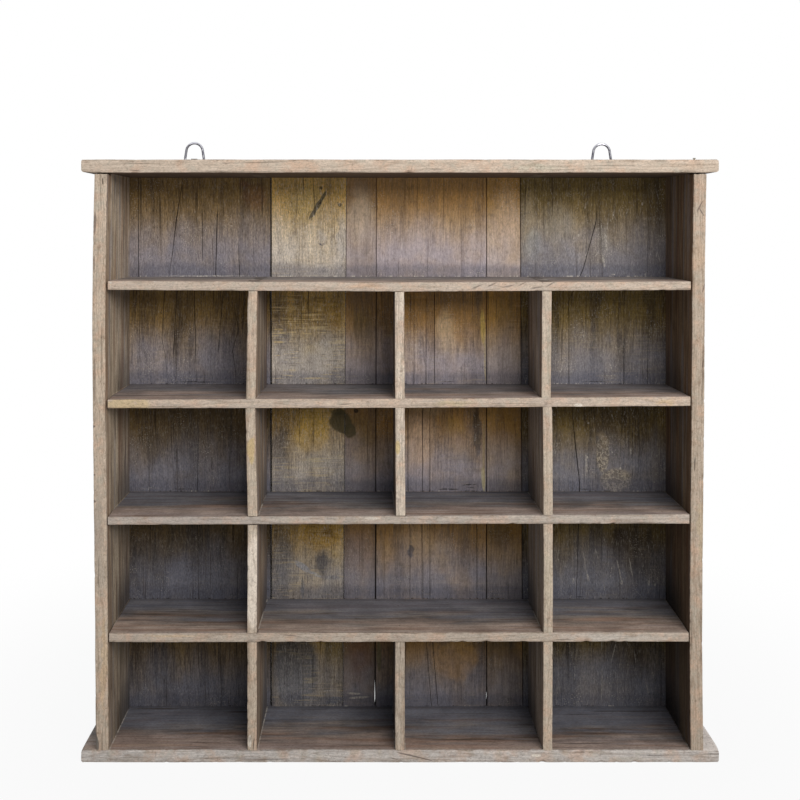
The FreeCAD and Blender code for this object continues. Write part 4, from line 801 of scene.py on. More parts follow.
def joint_lines(wiring, name, place, depth):
    """Mask of the thin lines on a shelf beside its uprights, which lean as the case does."""
    near = wiring.fade(depth, 0.105, 0.0)
    lines = 0.0
    for at, table in SIDEWAYS.items():
        if at == 0.0 and name not in ("bottom_board", "shelf_2", "shelf_3"):
            continue
        half = SIDE_HALF if abs(at * MM) > 0.3 else DIVIDER_HALF
        shift = between(table, BOXES[name][1].z / MM) * MM
        middle = wiring.plus(wiring.times(near, shift), at * MM)
        beside = wiring.value("ABSOLUTE", wiring.minus(wiring.split(place)[0], middle))
        lines = wiring.most(lines, wiring.fade(beside, half + 0.0017, half + 0.0009))
    return lines


def shelf_face(wiring, name, place, face, depth, facing, dust_and_cool_share):
    """A lying board's face: streaks, blue dust that is also painted cool light towards the back, rubbed brown
    at the front, painted light that makes it lighter at the front and painted shade that makes it darker
    behind, and painted shade in its back corner and on its underside.
    """
    streaks = wiring.drawn_out(place, (8, 110, 110), 4.0, 0.7, (2, 0, 0))
    face = wiring.lay(face, paint(84, 70, 62), wiring.fade(streaks, 0.52, 0.64, 0.0, 0.6))
    face = wiring.lay(face, paint(182, 170, 158), wiring.fade(streaks, 0.48, 0.36, 0.0, 0.5))
    here = wiring.plus(depth, wiring.wander(wiring.stretched(place, (9, 40, 40)), 1.0, 3.0, 0.14, 0.6))
    # Blue dust towards the back, which is also painted cool light
    face = wiring.lay(face, paint(140, 146, 164), wiring.fade(here, 0.035, 0.085), dust_and_cool_share)
    face = wiring.lay(face, paint(150, 122, 104), wiring.fade(here, 0.06, 0.02, 0.0, 0.5))
    # Painted light and shade: lighter at the front, darker towards the back, in soft blotches
    blotches = wiring.fade(wiring.cloud(place, 26.0, 3.0, 0.6), 0.3, 0.7, 0.84, 1.16)
    face = wiring.dim(face, wiring.times(wiring.fade(here, 0.052, 0.010, 0.68, 1.34), blotches))
    line_tone = wiring.mix(wiring.fade(wiring.cloud(place, 14.0), 0.46, 0.54), UMBER, CHALK)
    broken = wiring.fade(wiring.cloud(place, 160.0, 3.0, 0.7), 0.4, 0.55, 0.15, 0.65)
    face = wiring.lay(face, line_tone, joint_lines(wiring, name, place, depth), broken)
    # Painted shade in the back corner
    face = wiring.lay(face, paint(60, 58, 62), wiring.fade(depth, 0.094, 0.104, 0.0, 0.45))
    # Painted shade on the underside
    return wiring.lay(face, paint(78, 60, 44), wiring.fade(facing[2], -0.4, -0.8), 0.75)


def front_edge(wiring, name, place, along, grain, facing):
    """Rubbed front edge of a board, with its stains, its chipped rims and painted shade on its underside."""
    edge, _, dirty = BOARD_TONES[name]
    pale = wiring.mix(wiring.fade(grain["Fibres"], 0.35, 0.65), wiring.mix(0.34, edge, dirty), edge)
    warm = wiring.fade(wiring.cloud(place, 48.0, 3.0, 0.6), 0.45, 0.68)
    pale = wiring.lay(pale, paint(216, 176, 148), warm, 0.45)
    cool = wiring.fade(wiring.cloud(place, 95.0, 3.0, 0.6), 0.5, 0.7)
    pale = wiring.lay(pale, paint(178, 174, 160), cool, 0.4)
    pale = add_stains(wiring, pale, place, BOARD_STAINS.get(name, []))
    chips = wiring.fade(wiring.drawn_out(along, (45, 150, 150), 4.0, 0.7), 0.5, 0.68)
    pale = wiring.lay(pale, paint(118, 98, 80), chips, wiring.point_mark("rim"), 0.55)
    pale = wiring.lay(pale, paint(140, 118, 98), wiring.fade(grain["Rings"], 0.0, 1.0, 0.0, 0.3))
    # Painted shade on the underside of the front edge
    return wiring.lay(pale, paint(120, 102, 86), wiring.fade(facing[2], -0.1, -0.7, 0.0, 0.4))


def shaded_and_speckled(wiring, colour, place, grain, left, speckled):
    """A wood's colour with painted shade that darkens it towards the case's foot, and finely speckled."""
    unshaded_share = wiring.effect(FOOT_SHADE, {"Place": place, "Left": left})["Share"]
    speckle = wiring.fade(grain["Speckle"], 0.2, 0.8, 1 - speckled, 1 + speckled)
    return wiring.dim(colour, wiring.times(unshaded_share, speckle))


def wire_wood(wiring, shader, colour, grain, shine, roughness, relief):
    """Joins a wood's colour, its roughness from dark to light fibres, and its relief to the shader."""
    shader.inputs["Specular IOR Level"].default_value = shine
    wiring.plug(shader.inputs["Base Color"], colour)
    wiring.plug(shader.inputs["Roughness"], wiring.fade(grain["Fibres"], 0.3, 0.7, *roughness))
    distance, strength = relief
    inputs = {"Height": grain["Relief"], "Distance": distance, "Strength": strength}
    wiring.plug(shader.inputs["Normal"], wiring.add("ShaderNodeBump", inputs).outputs[0])


def make_board_finish(number, name):
    """Old sawn board: rubbed pale at the front edge, dustier towards the back, with painted shade towards the
    back, in the corners and towards the case's foot.
    """
    _, clean, dirty = BOARD_TONES[name]
    finish, wiring, shader, place = new_finish(name + "_wood", 0.82)
    upright = name in UPRIGHTS
    along = wiring.stretched(place, (1, 1, 1), (0.37 * number, 0.21 * number, 0),
                             UPRIGHT_TURN if upright else (0, 0, 0))
    grain = wiring.effect(GRAIN, {"Place": along, "Wander": 0.008, "Across": 90.0 if upright else 60.0})
    wear = wiring.effect(FRONT_WEAR, {"Place": place, "Reach": 0.0035})
    facing = wiring.facing()

    tone = wiring.plus(wiring.times(grain["Bands"], 0.9), wiring.times(grain["Fibres"], 0.7))
    face = wiring.mix(wiring.fade(tone, 0.64 if upright else 0.58, 0.94 if upright else 1.0), dirty, clean)
    hue = wiring.drawn_out(along, (5, 110, 110), 2.0, 0.5, (3, 1, 2))
    face = wiring.lay(face, RUSSET, wiring.fade(hue, 0.54, 0.64), 0.5)
    face = wiring.lay(face, COOL_GREY, wiring.fade(hue, 0.46, 0.36), 0.5)
    face = wiring.lay(face, UMBER, grain["Rings"], 0.35)
    low_share = wiring.effect(FOOT_SHADE, {"Place": place, "Left": 0.0})["Share"]
    # Dust with painted cool light grows stronger lower in the case
    dust_and_cool_share = wiring.fade(low_share, 1.0, 0.0, 0.25, 0.6)
    weather = upright_face if upright else shelf_face
    face = weather(wiring, name, place, face, wear["Depth"], facing, dust_and_cool_share)

    pale = front_edge(wiring, name, place, along, grain, facing)
    share = wear["Edge"]
    if name == "top_board":
        share = wiring.most(share, wiring.fade(facing[2], -0.8, -0.4, 0.0, 0.85))
    if name == "bottom_board":
        across = wiring.split(place)[0]
        right_end = wiring.fade(across, 0.331, 0.3335, 0.0, 0.95)
        left_end = wiring.fade(across, -0.3325, -0.335, 0.0, 0.4)
        share = wiring.most(wiring.most(share, right_end), left_end)
        pale = wiring.lay(pale, paint(252, 242, 234), right_end, wiring.fade(facing[2], 0.4, 0.8))
    colour = wiring.mix(share, face, pale)
    softer = wiring.fade(share, 0.0, 1.0, 1.0, 0.5)
    colour = wiring.lay(colour, paint(92, 78, 64), grain["Pores"], 0.45, softer)
    colour = wiring.lay(colour, paint(64, 52, 42), grain["Checks"], 0.7, softer)
    specks = wiring.fade(wiring.cloud(place, 430.0, 2.0, 0.7), 0.58, 0.68)
    colour = wiring.lay(colour, paint(120, 100, 84), specks, 0.35)
    # Painted shade: the boards get darker towards the case's foot
    colour = shaded_and_speckled(wiring, colour, place, grain, 0.88, 0.2)
    wire_wood(wiring, shader, colour, grain, 0.25, (0.9, 0.72), (0.0005, 0.6))
    return finish


# A plank's tone where it is neither light nor dark, and the half size in mm below which a mark is thin
MIDDLE_TONE = 0.77
THIN_MM = 1.8


def lay_bark(wiring, colour, place, patches):
    """Patches of bark left on a plank, with pale curls."""
    bark = 0.0
    for across, up, wide, high in patches:
        spot = wiring.vector("SUBTRACT", place, (across * MM, 0, up * MM))
        inputs = {"Place": spot, "Reach": (wide * MM, 1, high * MM), "Core": 0.7}
        bark = wiring.most(bark, wiring.effect(STAIN, inputs)["Mask"])
    curls = wiring.effect(SAW_MARKS, {"Place": place})["Curls"]
    colour = wiring.lay(colour, paint(134, 120, 98), bark, 0.5)
    return wiring.lay(colour, paint(226, 212, 190), bark, curls, 0.55)


def mark_plank(wiring, number, colour, place, grain, dust_and_cool_mask):
    """A plank's saw marks, scratches, flecks, pores and checks. The dust and painted cool light low in each
    row soften the last three.
    """
    _, dark_marks, flecks, scratched, sawn, _ = PLANK_MARKS[number]
    height = wiring.split(place)[2]
    saw = wiring.effect(SAW_MARKS, {"Place": place})
    sawn = wiring.times(wiring.fade(height, 0.54, 0.51, 0.15 * sawn, sawn),
                        wiring.fade(height, 0.395, 0.385, 1.0, 0.55))
    colour = wiring.lay(colour, paint(96, 84, 70), saw["Grooves"], 0.45, sawn)
    colour = wiring.lay(colour, paint(232, 208, 156), saw["Ridges"], 0.7, sawn)
    colour = wiring.lay(colour, CHALK, saw["Specks"], 0.5)
    scratches = wiring.effect(SCRATCHES, {"Place": place, "Lean": 0.35})["Scratches"]
    colour = wiring.lay(colour, CHALK, scratches, scratched)
    clear = wiring.fade(dust_and_cool_mask, 0.0, 1.0, 1.0, 0.6)
    for mark, strength, shade in (("Flecks", flecks, CHALK), ("Pores", dark_marks, UMBER),
                                  ("Checks", dark_marks, UMBER)):
        colour = wiring.lay(colour, shade, grain[mark], strength, clear)
    return colour


def make_plank_finish(number):
    """Weathered back plank: grain up and down, stains, dust haze low in each row that is also painted cool
    light, painted warm bounce light high in each row, and painted shade in its cracks and seams and towards
    the case's foot.
    """
    light, dark, bounce_tone, dust_and_cool_tone = PLANK_TONES[number]
    dust_and_cool_strength, dark_marks, flecks, _, _, speckled = PLANK_MARKS[number]
    finish, wiring, shader, place = new_finish("plank_%d_wood" % number, 0.88)
    along = wiring.stretched(place, (1, 1, 1), (0.29 * number, 0.43 * number, 0), UPRIGHT_TURN)
    grain = wiring.effect(GRAIN, {"Place": along, "Wander": 0.014, "Across": 55.0})
    row = wiring.effect(ROW_DUST_AND_LIGHT, {"Place": place, "Clear": 0.084, "Full": 0.018, "Raggedness": 0.08})
    height = wiring.split(place)[2]
    tone = wiring.plus(wiring.times(grain["Bands"], 0.8), wiring.times(grain["Fibres"], 0.75))
    calm = wiring.fade(height, 0.52, 0.535, 1.0, 0.66)
    tone = wiring.plus(wiring.times(wiring.minus(tone, MIDDLE_TONE), calm), MIDDLE_TONE)

    colour = wiring.mix(wiring.fade(tone, 0.54, 1.0), dark, light)
    colour = wiring.lay(colour, UMBER, grain["Rings"], 0.5 * dark_marks)
    # Painted warm bounce light high in each row, lower down in the top row
    high = wiring.minus(row["Height"], wiring.fade(height, 0.50, 0.53, 0.0, 0.014))
    bounce_wood = wiring.mix(wiring.fade(tone, 0.5, 1.0), dark, bounce_tone)
    colour = wiring.lay(colour, bounce_wood, wiring.fade(high, 0.035, 0.085, 0.0, 0.8))
    broad = [stain for stain in PLANK_STAINS[number] if min(stain[2:4]) >= THIN_MM]
    colour = add_stains(wiring, colour, place, broad)

    low_share = wiring.effect(FOOT_SHADE, {"Place": place, "Left": 0.0})["Share"]
    # Dust with painted cool light, bluer lower in the case
    dust_and_cool_tone = wiring.mix(wiring.fade(low_share, 1.0, 0.0, 0.0, 0.7), dust_and_cool_tone, LOW_DUST_AND_COOL_LIGHT)
    clouds = wiring.fade(wiring.cloud(place, 20.0, 3.0, 0.6), 0.3, 0.6, 0.55, 1.0)
    colour = wiring.lay(colour, dust_and_cool_tone, row["Dust And Cool Light"], clouds, dust_and_cool_strength * 1.15)
    colour = wiring.dim(colour, wiring.fade(tone, 0.55, 0.95, 0.84, 1.14))
    if number in BARK_PATCHES:
        colour = lay_bark(wiring, colour, place, BARK_PATCHES[number])
    mottled = wiring.cloud(place, 130.0, 4.0, 0.7)
    colour = wiring.lay(colour, paint(104, 96, 90), wiring.fade(mottled, 0.5, 0.7, 0.0, 0.3))
    colour = wiring.lay(colour, CHALK, wiring.fade(mottled, 0.5, 0.3, 0.0, 0.3 * flecks))
    # Darker foot of each row: dirt and painted shade in the corner
    colour = wiring.lay(colour, paint(98, 100, 116), row["Foot Dirt And Shade"], 0.5)
    colour = mark_plank(wiring, number, colour, place, grain, row["Dust And Cool Light"])

    # Dust line on the shelf, with painted shade in the crease
    chalky = wiring.most(wiring.fade(wiring.cloud(place, 13.0), 0.54, 0.62), wiring.fade(height, 0.50, 0.52))
    dust_and_crease_line = wiring.mix(chalky, DARK_HOLE, CHALK)
    colour = wiring.lay(colour, dust_and_crease_line, row["Dust Line And Crease Shade"], 0.75)
    thin = [stain for stain in PLANK_STAINS[number] if min(stain[2:4]) < THIN_MM]
    worn = wiring.fade(wiring.cloud(place, 330.0, 2.0, 0.7), 0.4, 0.56, 0.3, 1.0)
    colour = add_stains(wiring, colour, place, thin, worn)
    colour = add_stains(wiring, colour, place, PLANK_KNOTS.get(number, []))

    facing = wiring.facing()
    greyed = [wiring.mix(0.35, wood, COOL_GREY) for wood in (dark, light)]
    rear = wiring.lay(wiring.mix(wiring.fade(tone, 0.54, 1.0), *greyed), UMBER, grain["Checks"], 0.7)
    colour = wiring.lay(colour, rear, wiring.fade(facing[1], 0.3, 0.7))
    # Painted shade: the planks get much darker towards the case's foot
    colour = shaded_and_speckled(wiring, colour, place, grain, 0.48, speckled)
    # Painted shade inside the seams and cracks
    seam_shade = wiring.fade(wiring.value("ABSOLUTE", facing[0]), 0.55, 0.9, 0.0, 0.9)
    colour = wiring.lay(colour, DARK_HOLE, wiring.most(wiring.point_mark("crack"), seam_shade))
    wire_wood(wiring, shader, colour, grain, 0.2, (0.95, 0.8), (0.0007, 0.7))
    return finish


# How far the rings' arches stand from the case's middle
RING_ASIDE = 0.2468


def make_metal_finish(name, bright, dull, roughness, top_highlight=None, rim=(1, 1, 1, 1)):
    """Small metal parts: bright and dull patches, dark specks, and for the rings a painted highlight on their
    upper sides and a painted glint at the top of the arch.
    """
    finish, wiring, shader, place = new_finish(name, roughness)
    wear = wiring.effect(METAL_WEAR, {"Place": place})
    colour = wiring.mix(wiring.fade(wear["Tone"], 0.35, 0.65), dull, bright)
    colour = wiring.lay(colour, paint(60, 52, 44), wear["Specks"], 0.3)
    if top_highlight:
        facing = wiring.facing()[2]
        # Painted highlight on the rings' upper sides
        colour = wiring.lay(colour, top_highlight, wiring.fade(facing, 0.1, 0.7, 0.0, 0.85))
        beside = wiring.minus(wiring.value("ABSOLUTE", wiring.split(place)[0]), RING_ASIDE)
        arch_top = wiring.fade(wiring.value("ABSOLUTE", beside), 0.0058, 0.0028)
        # Painted glint at the top of the arch, darker underneath
        glint = wiring.mix(wiring.fade(facing, -0.7, -0.1), paint(116, 116, 130), paint(204, 204, 214))
        colour = wiring.lay(colour, glint, arch_top, 0.9)
    shader.inputs["Metallic"].default_value = 1.0
    shader.inputs["Specular Tint"].default_value = rim
    wiring.plug(shader.inputs["Base Color"], colour)
    wiring.plug(shader.inputs["Roughness"], wiring.fade(wear["Tone"], 0.3, 0.7, roughness + 0.12, roughness))
    return finish


NAIL_FINISH = make_metal_finish("old_nail_steel", paint(104, 100, 90), paint(70, 64, 56), 0.45)
STRAP_FINISH = make_metal_finish("zinc_strap", paint(150, 150, 154), paint(104, 104, 108), 0.38)
# The rings get a painted highlight on their upper sides
RING_FINISH = make_metal_finish("dull_wire", paint(128, 128, 134), paint(88, 88, 96), 0.35,
                                paint(226, 226, 234), paint(110, 110, 118))


# Boards

# Distances between the points along a board and from front to back, and the lines of points behind its front
POINT_STEP = 2.6 * MM
DEPTH_STEP = 26 * MM
FRONT_LINES = (0, 2.4 * MM, 6 * MM, 13 * MM, 26 * MM)

# Roundings of the outer boards' ends and of every front edge
END_ROUND = 3.0 * MM
FRONT_ROUND = 1.0 * MM

# How far from their ends the outer boards change, and how far behind the front their flare is complete
END_REACH = 13 * MM
FLARE_REACH = 9 * MM

# How far behind the front a shelf gets back its thickness, and a gap at a joint closes, and a board is rubbed
THIN_REACH_MM = 14
GAP_REACH = 14 * MM
RUB_REACH_MM = 4

# Two places nearer to each other than this are the same, and points nearer than the second are merged
SAME = 0.01 * MM
MERGED = 0.001 * MM


def board_blank(lengths, depths, thickness, is_cut):
    """A board lying flat, from its grid: slots cut, thickness given, and lines of points round its edges."""
    shape = bmesh.new()
    columns, rows = len(lengths) - 1, len(depths) - 1
    bmesh.ops.create_grid(shape, x_segments=columns, y_segments=rows, size=0.5)
    for vert in shape.verts:
        column, row = round((vert.co.x + 0.5) * columns), round((vert.co.y + 0.5) * rows)
        vert.co = Vector((lengths[column], depths[row], 0))
    cut = [face for face in shape.faces if is_cut(face.calc_center_median())]
    if cut:
        bmesh.ops.delete(shape, geom=cut, context="FACES")
    grown = bmesh.ops.extrude_face_region(shape, geom=shape.faces[:])["geom"]
    bmesh.ops.translate(shape, verts=points_of(grown), vec=(0, 0, thickness))
    for share in (0.3, 0.5, 0.7):
        level = (0, 0, thickness * share)
        bmesh.ops.bisect_plane(shape, geom=whole(shape), plane_co=level, plane_no=(0, 0, 1))
    bmesh.ops.recalc_face_normals(shape, faces=shape.faces[:])
    return shape


def round_corners(shape, is_picked, radius, segments=2):
    """Rounds the sharp edges that are picked by their middle and their direction."""
    picked = []
    for edge in shape.edges:
        start, end = (vert.co for vert in edge.verts)
        is_sharp = edge.calc_face_angle(0) > math.radians(60)
        if is_sharp and is_picked((start + end) / 2, (start - end).normalized()):
            picked.append(edge)
    bmesh.ops.bevel(shape, geom=picked, offset=radius, offset_type="OFFSET", affect="EDGES",
                    segments=segments, profile=0.5, material=-1, clamp_overlap=True)


def wear_front(shape, front, thickness, seed):
    """Rubs and nicks the front edge of a flat board, and marks its rims."""
    rim_layer = shape.verts.layers.float.new("rim")
    for vert in shape.verts:
        along, depth, up = vert.co.x / MM, (vert.co.y - front) / MM, vert.co.z / MM
        near = math.exp(-max(depth, 0) / RUB_REACH_MM)
        if near < 0.01:
            continue
        corner = abs(up / (thickness / MM) - 0.5) * 2
        vert[rim_layer] = min(max(corner * 2 - 0.9, 0), 1)
        low = noise.noise(Vector((along / 26, up / 12, seed)))
        fine = noise.noise(Vector((along / 6, up / 3, seed + 7)))
        nick = max(0, noise.noise(Vector((along / 7, up / 5, seed + 19))) - 0.32) * 3.5 * corner ** 2
        push = 0.35 * low + 0.16 * fine + 0.25 + nick
        sag = 0.3 * noise.noise(Vector((along / 34, seed + 31, round(up))))
        pinch = (0.3 * nick + 0.12 * abs(fine)) * (1 if up < thickness / MM / 2 else -1)
        vert.co.y += max(push, 0) * near * MM
        vert.co.z += (sag + pinch) * near * corner ** 2 * MM


def thin_front(shape, name, front, thickness):
    """Gives a shelf the thickness that is left at its front edge."""
    table = shelf_table(FRONT_SHARES[name])
    for vert in shape.verts:
        depth = (vert.co.y - front) / MM
        share = 1 + (between(table, vert.co.x / MM) - 1) * math.exp(-max(depth, 0) / THIN_REACH_MM)
        vert.co.z = thickness * 0.5 + (vert.co.z - thickness * 0.5) * share


def flare_ends(shape, name, start, end, front, thickness):
    """Lifts the underside of an outer board towards its ends, and makes it longer behind its front edge."""
    left_flare, right_flare = OUTER_END_FLARES[name]
    for vert in shape.verts:
        near = max(0, 1 - min(vert.co.x - start, end - vert.co.x) / END_REACH)
        vert.co.z += OUTER_END_LIFTS[name] * MM * near * (1 - vert.co.z / thickness)
        flare = right_flare if vert.co.x > 0 else -left_flare
        vert.co.x += flare * MM * near * (1 - math.exp((front - vert.co.y) / FLARE_REACH))


def open_joints(shape, name, start, end, front, seed):
    """Draws a board's ends back at the front, so that ragged gaps show at its joints."""
    first_gap, last_gap = END_GAPS.get(name, (0, TOP_GAPS.get(name, 0)))
    for vert in shape.verts:
        near = 1 if vert.co.y < front + GAP_REACH else 0
        ragged = 1 + 0.5 * noise.noise(Vector((vert.co.y / MM / 4, vert.co.z / MM / 3, seed)))
        if abs(vert.co.x - start) < SAME:
            vert.co.x += first_gap * near * ragged * MM
        if abs(vert.co.x - end) < SAME:
            vert.co.x -= last_gap * near * ragged * MM


def crossing_slots(name):
    """Slots of a board where it crosses others: start, end, and the depths between which it is cut."""
    own_low, own_high = BOXES[name]
    half_way = (FRONT_PLANE + PLANK_PLANE) / 2
    slots = []
    if name in SHELVES:
        for low, high in (BOXES[divider] for divider in SLOTTED_DIVIDERS):
            if low.z < own_low.z and high.z > own_high.z:
                slots.append((low.x, high.x, half_way, 1))
    if name in SLOTTED_DIVIDERS:
        for low, high in (BOXES[shelf] for shelf in SHELVES):
            if low.z > own_low.z + 5 * MM and high.z < own_high.z - 5 * MM:
                slots.append((low.z, high.z, -1, half_way))
    return slots


def case_board(number, name):
    """One board of the case: blank, rounded corners, worn front edge, its place, and its warp."""
    low, high = BOXES[name]
    upright, outer = name in UPRIGHTS, name in OUTER_BOARDS
    start, end = (low.z, high.z) if upright else (low.x, high.x)
    thickness = high.x - low.x if upright else high.z - low.z
    slots = crossing_slots(name)
    lengths = spaced(start, end, POINT_STEP, [edge for slot in slots for edge in slot[:2]])
    lines = [low.y + line for line in FRONT_LINES] + [depth for slot in slots for depth in slot[2:]]
    depths = spaced(low.y, high.y, DEPTH_STEP, lines)

    def is_cut(middle):
        return any(first < middle.x < last and near < middle.y < far for first, last, near, far in slots)

    def on_rim(at):
        return min(at.z, thickness - at.z) < SAME

    def at_end(at, direction):
        return on_rim(at) and min(abs(at.x - start), abs(at.x - end)) < SAME

    def at_front(at, direction):
        return on_rim(at) and at.y < low.y + SAME and abs(direction.x) > 0.9

    shape = board_blank(lengths, depths, thickness, is_cut)
    if outer:
        round_corners(shape, at_end, END_ROUND, 3)
    round_corners(shape, at_front, FRONT_ROUND)
    if name in SHELVES:
        thin_front(shape, name, low.y, thickness)
    if outer:
        flare_ends(shape, name, start, end, low.y, thickness)
    wear_front(shape, low.y, thickness, number * 13.7)
    open_joints(shape, name, start, end, low.y, number)
    for vert in shape.verts:
        along, across, up = vert.co
        vert.co = Vector((low.x + up, across, along)) if upright else Vector((along, across, low.z + up))
        if not outer:
            vert.co = bent(vert.co)
    finish_piece(name, "_worn", shape, "case", make_board_finish(number, name))


# Planks

# Distances in mm between the points up and across a plank, and how far its front is worn away
ROW_STEP_MM = 4
ACROSS_STEP_MM = 5
WORN_AWAY_MM = 0.3

# How far a crack's lips are from its middle against its width, and the least width that this counts, in mm
LIP_SHARE = 0.6
LEAST_CRACK_MM = 0.05

# How deep a crack is pressed in, against its width, in its middle and at its lips
CRACK_DEPTH = 3.2
LIP_DEPTH = 0.15

# Rounding of a plank's front edges along its seams
PLANK_ROUND = 0.6 * MM


def plank_edge(number, height):
    """x of the seam's left lip after a plank, in mm, at a height in mm."""
    low, high = BOXES["back_plank_%d" % number]
    lean = PLANK_LEANS[number]
    share = (height - low.z / MM) / ((high.z - low.z) / MM)
    return high.x / MM - max(lean, 0) + lean * share if lean >= 0 else high.x / MM + lean * share


def back_plank(number):
    """One back plank: columns of points follow its seams and cracks, and the cracks are pressed in."""
    name = "back_plank_%d" % number
    low, high = BOXES[name]
    heights = spaced(low.z / MM, high.z / MM, ROW_STEP_MM)
    middle = (low.z + high.z) / 2 / MM

    def left_edge(height):
        if number == 1:
            return low.x / MM
        return plank_edge(number - 1, height) + between(SEAM_GAPS[number - 1], height)

    def right_edge(height):
        return plank_edge(number, height)

    def crack_line(crack):
        path = [(z, x) for z, x, width in crack]
        return lambda height: between(path, height)

    # Columns: x at the plank's middle, and for a crack its widths against height and its side, -1, 0 or 1
    lines = [left_edge] + [crack_line(crack) for crack in CRACKS[number]] + [right_edge]
    places = [line(middle) for line in lines]
    columns = [(places[0], None, 0)]
    columns += [(x, None, 0) for x in spaced(places[0], places[1], ACROSS_STEP_MM)[1:-1]]
    for crack, start, end in zip(CRACKS[number], places[1:], places[2:]):
        widths = [(z, width) for z, x, width in crack]
        columns += [(start, widths, side) for side in (-1, 0, 1)]
        columns += [(x, None, 0) for x in spaced(start, end, ACROSS_STEP_MM)[1:-1]]
    columns.append((places[-1], None, 0))

    shape = bmesh.new()
    crack_shade_layer = shape.verts.layers.float.new("crack")
    count, rows = len(columns) - 1, len(heights) - 1
    bmesh.ops.create_grid(shape, x_segments=count, y_segments=rows, size=0.5)
    for vert in shape.verts:
        base, widths, side = columns[round((vert.co.x + 0.5) * count)]
        height = heights[round((vert.co.y + 0.5) * rows)]
        x = base + between([(place, line(height) - place) for place, line in zip(places, lines)], base)
        if widths:
            x += side * LIP_SHARE * max(between(widths, height), LEAST_CRACK_MM)
        swell = 0.35 * noise.noise(Vector((x / 40, height / 160, number)))
        swell += 0.12 * noise.noise(Vector((x / 6, height / 40, number + 9)))
        depth = 0
        if widths:
            width = between(widths, height)
            jitter = 0.75 + 0.5 * noise.noise(Vector((height / 9, base, number)))
            # How dark the painted shade in a crack's middle is
            vert[crack_shade_layer] = min(1, width * 2.2 * jitter) if side == 0 else 0
            depth = CRACK_DEPTH * width * jitter if side == 0 else LIP_DEPTH * width
        vert.co = Vector((x, low.y / MM + WORN_AWAY_MM + swell + depth, height)) * MM
    for vert in points_of(bmesh.ops.extrude_face_region(shape, geom=shape.faces[:])["geom"]):
        vert.co.y = high.y
        vert[crack_shade_layer] = 0
        height = vert.co.z / MM
        if number > 1 and abs(vert.co.x / MM - left_edge(height)) < 0.01:
            slit = between(SLITS.get(number - 1, [(0, 0)]), height)
            vert.co.x = (plank_edge(number - 1, height) + slit + 0.02) * MM
    bmesh.ops.recalc_face_normals(shape, faces=shape.faces[:])

    def at_front_edge(at, direction):
        x, height = at.x / MM, at.z / MM
        beside = min(abs(x - left_edge(height)), abs(x - right_edge(height)))
        return at.y < (low.y + high.y) / 2 and abs(direction.z) > 0.9 and beside < 0.3

    round_corners(shape, at_front_edge, PLANK_ROUND, 1)
    finish_piece(name, "_weathered", shape, "case", make_plank_finish(number))


# Nails, straps and rings

def bend_nails(name):
    """Copies a set of nails and moves it with the warped boards that it holds."""
    shape = bmesh.new()
    shape.from_mesh(frame["nodes"][name].data)
    bmesh.ops.remove_doubles(shape, verts=shape.verts[:], dist=MERGED)
    for vert in shape.verts:
        vert.co = bent(vert.co)
    finish_piece(name, "_driven", shape, "case", NAIL_FINISH, 30)


def repaint(name, finish):
    """Gives a CAD node that stays its own material."""
    mesh = frame["nodes"][name].data
    mesh.materials.clear()
    mesh.materials.append(finish)


# The D rings: half their bar, the middles of their feet and arches, and how far their legs lean inwards
WIRE_RADIUS = 1.5 * MM
HALF_BAR = 8.8 * MM
FOOT_RADIUS = 2.5 * MM
ARCH_RADIUS = 9.9 * MM
ARCH_HEIGHT = 11.4 * MM
LEG_LEAN = math.radians(8.43)


def wire_ring(name, joint_name, aside):
    """D ring of round wire: a bar, two small feet, two legs and an arch; aside is its play in the strap."""
    pivot = Vector(next(joint["pos_m"] for joint in frame["joints"] if joint["name"] == joint_name))
    shape = bmesh.new()
    bmesh.ops.create_circle(shape, cap_ends=False, segments=16, radius=WIRE_RADIUS,
                            matrix=Matrix.Rotation(math.pi / 2, 4, "Y"))

    def open_end(items):
        verts = points_of(items)
        return verts, [item for item in items if isinstance(item, bmesh.types.BMEdge)
                       and all(vert in verts for vert in item.verts)]

    def middle_of(verts):
        return sum((vert.co for vert in verts), Vector()) / len(verts)

    verts, edges = open_end(bmesh.ops.extrude_edge_only(shape, edges=shape.edges[:])["geom"])
    bmesh.ops.translate(shape, verts=verts, vec=(HALF_BAR, 0, 0))
    foot = bmesh.ops.spin(shape, geom=verts + edges, cent=(HALF_BAR, 0, FOOT_RADIUS), axis=(0, -1, 0),
                          angle=math.radians(90) + LEG_LEAN, steps=8, use_merge=False)
    verts, edges = open_end(foot["geom_last"])
    sideways, upwards = math.cos(LEG_LEAN), math.sin(LEG_LEAN)
    direction = Vector((-upwards, 0, sideways))
    arch_start = Vector((ARCH_RADIUS * sideways, 0, ARCH_HEIGHT + ARCH_RADIUS * upwards))
    leg = direction * (arch_start - middle_of(verts)).dot(direction)
    verts, edges = open_end(bmesh.ops.extrude_edge_only(shape, edges=edges)["geom"])
    bmesh.ops.translate(shape, verts=verts, vec=leg)
    centre = middle_of(verts) - Vector((ARCH_RADIUS * sideways, 0, ARCH_RADIUS * upwards))
    bmesh.ops.spin(shape, geom=verts + edges, cent=(centre.x, 0, centre.z), axis=(0, -1, 0),
                   angle=math.radians(90) - LEG_LEAN, steps=12, use_merge=False)
    bmesh.ops.mirror(shape, geom=whole(shape), axis="X", merge_dist=0.0)
    for vert in shape.verts:
        if abs(vert.co.x) < 0.25 * MM:
            vert.co.x = 0
    bmesh.ops.remove_doubles(shape, verts=shape.verts[:], dist=SAME)
    bmesh.ops.translate(shape, verts=shape.verts[:], vec=pivot + Vector((aside, 0, 0)))
    finish_piece(name, "_wire", shape, name, RING_FINISH, 50)


# The object

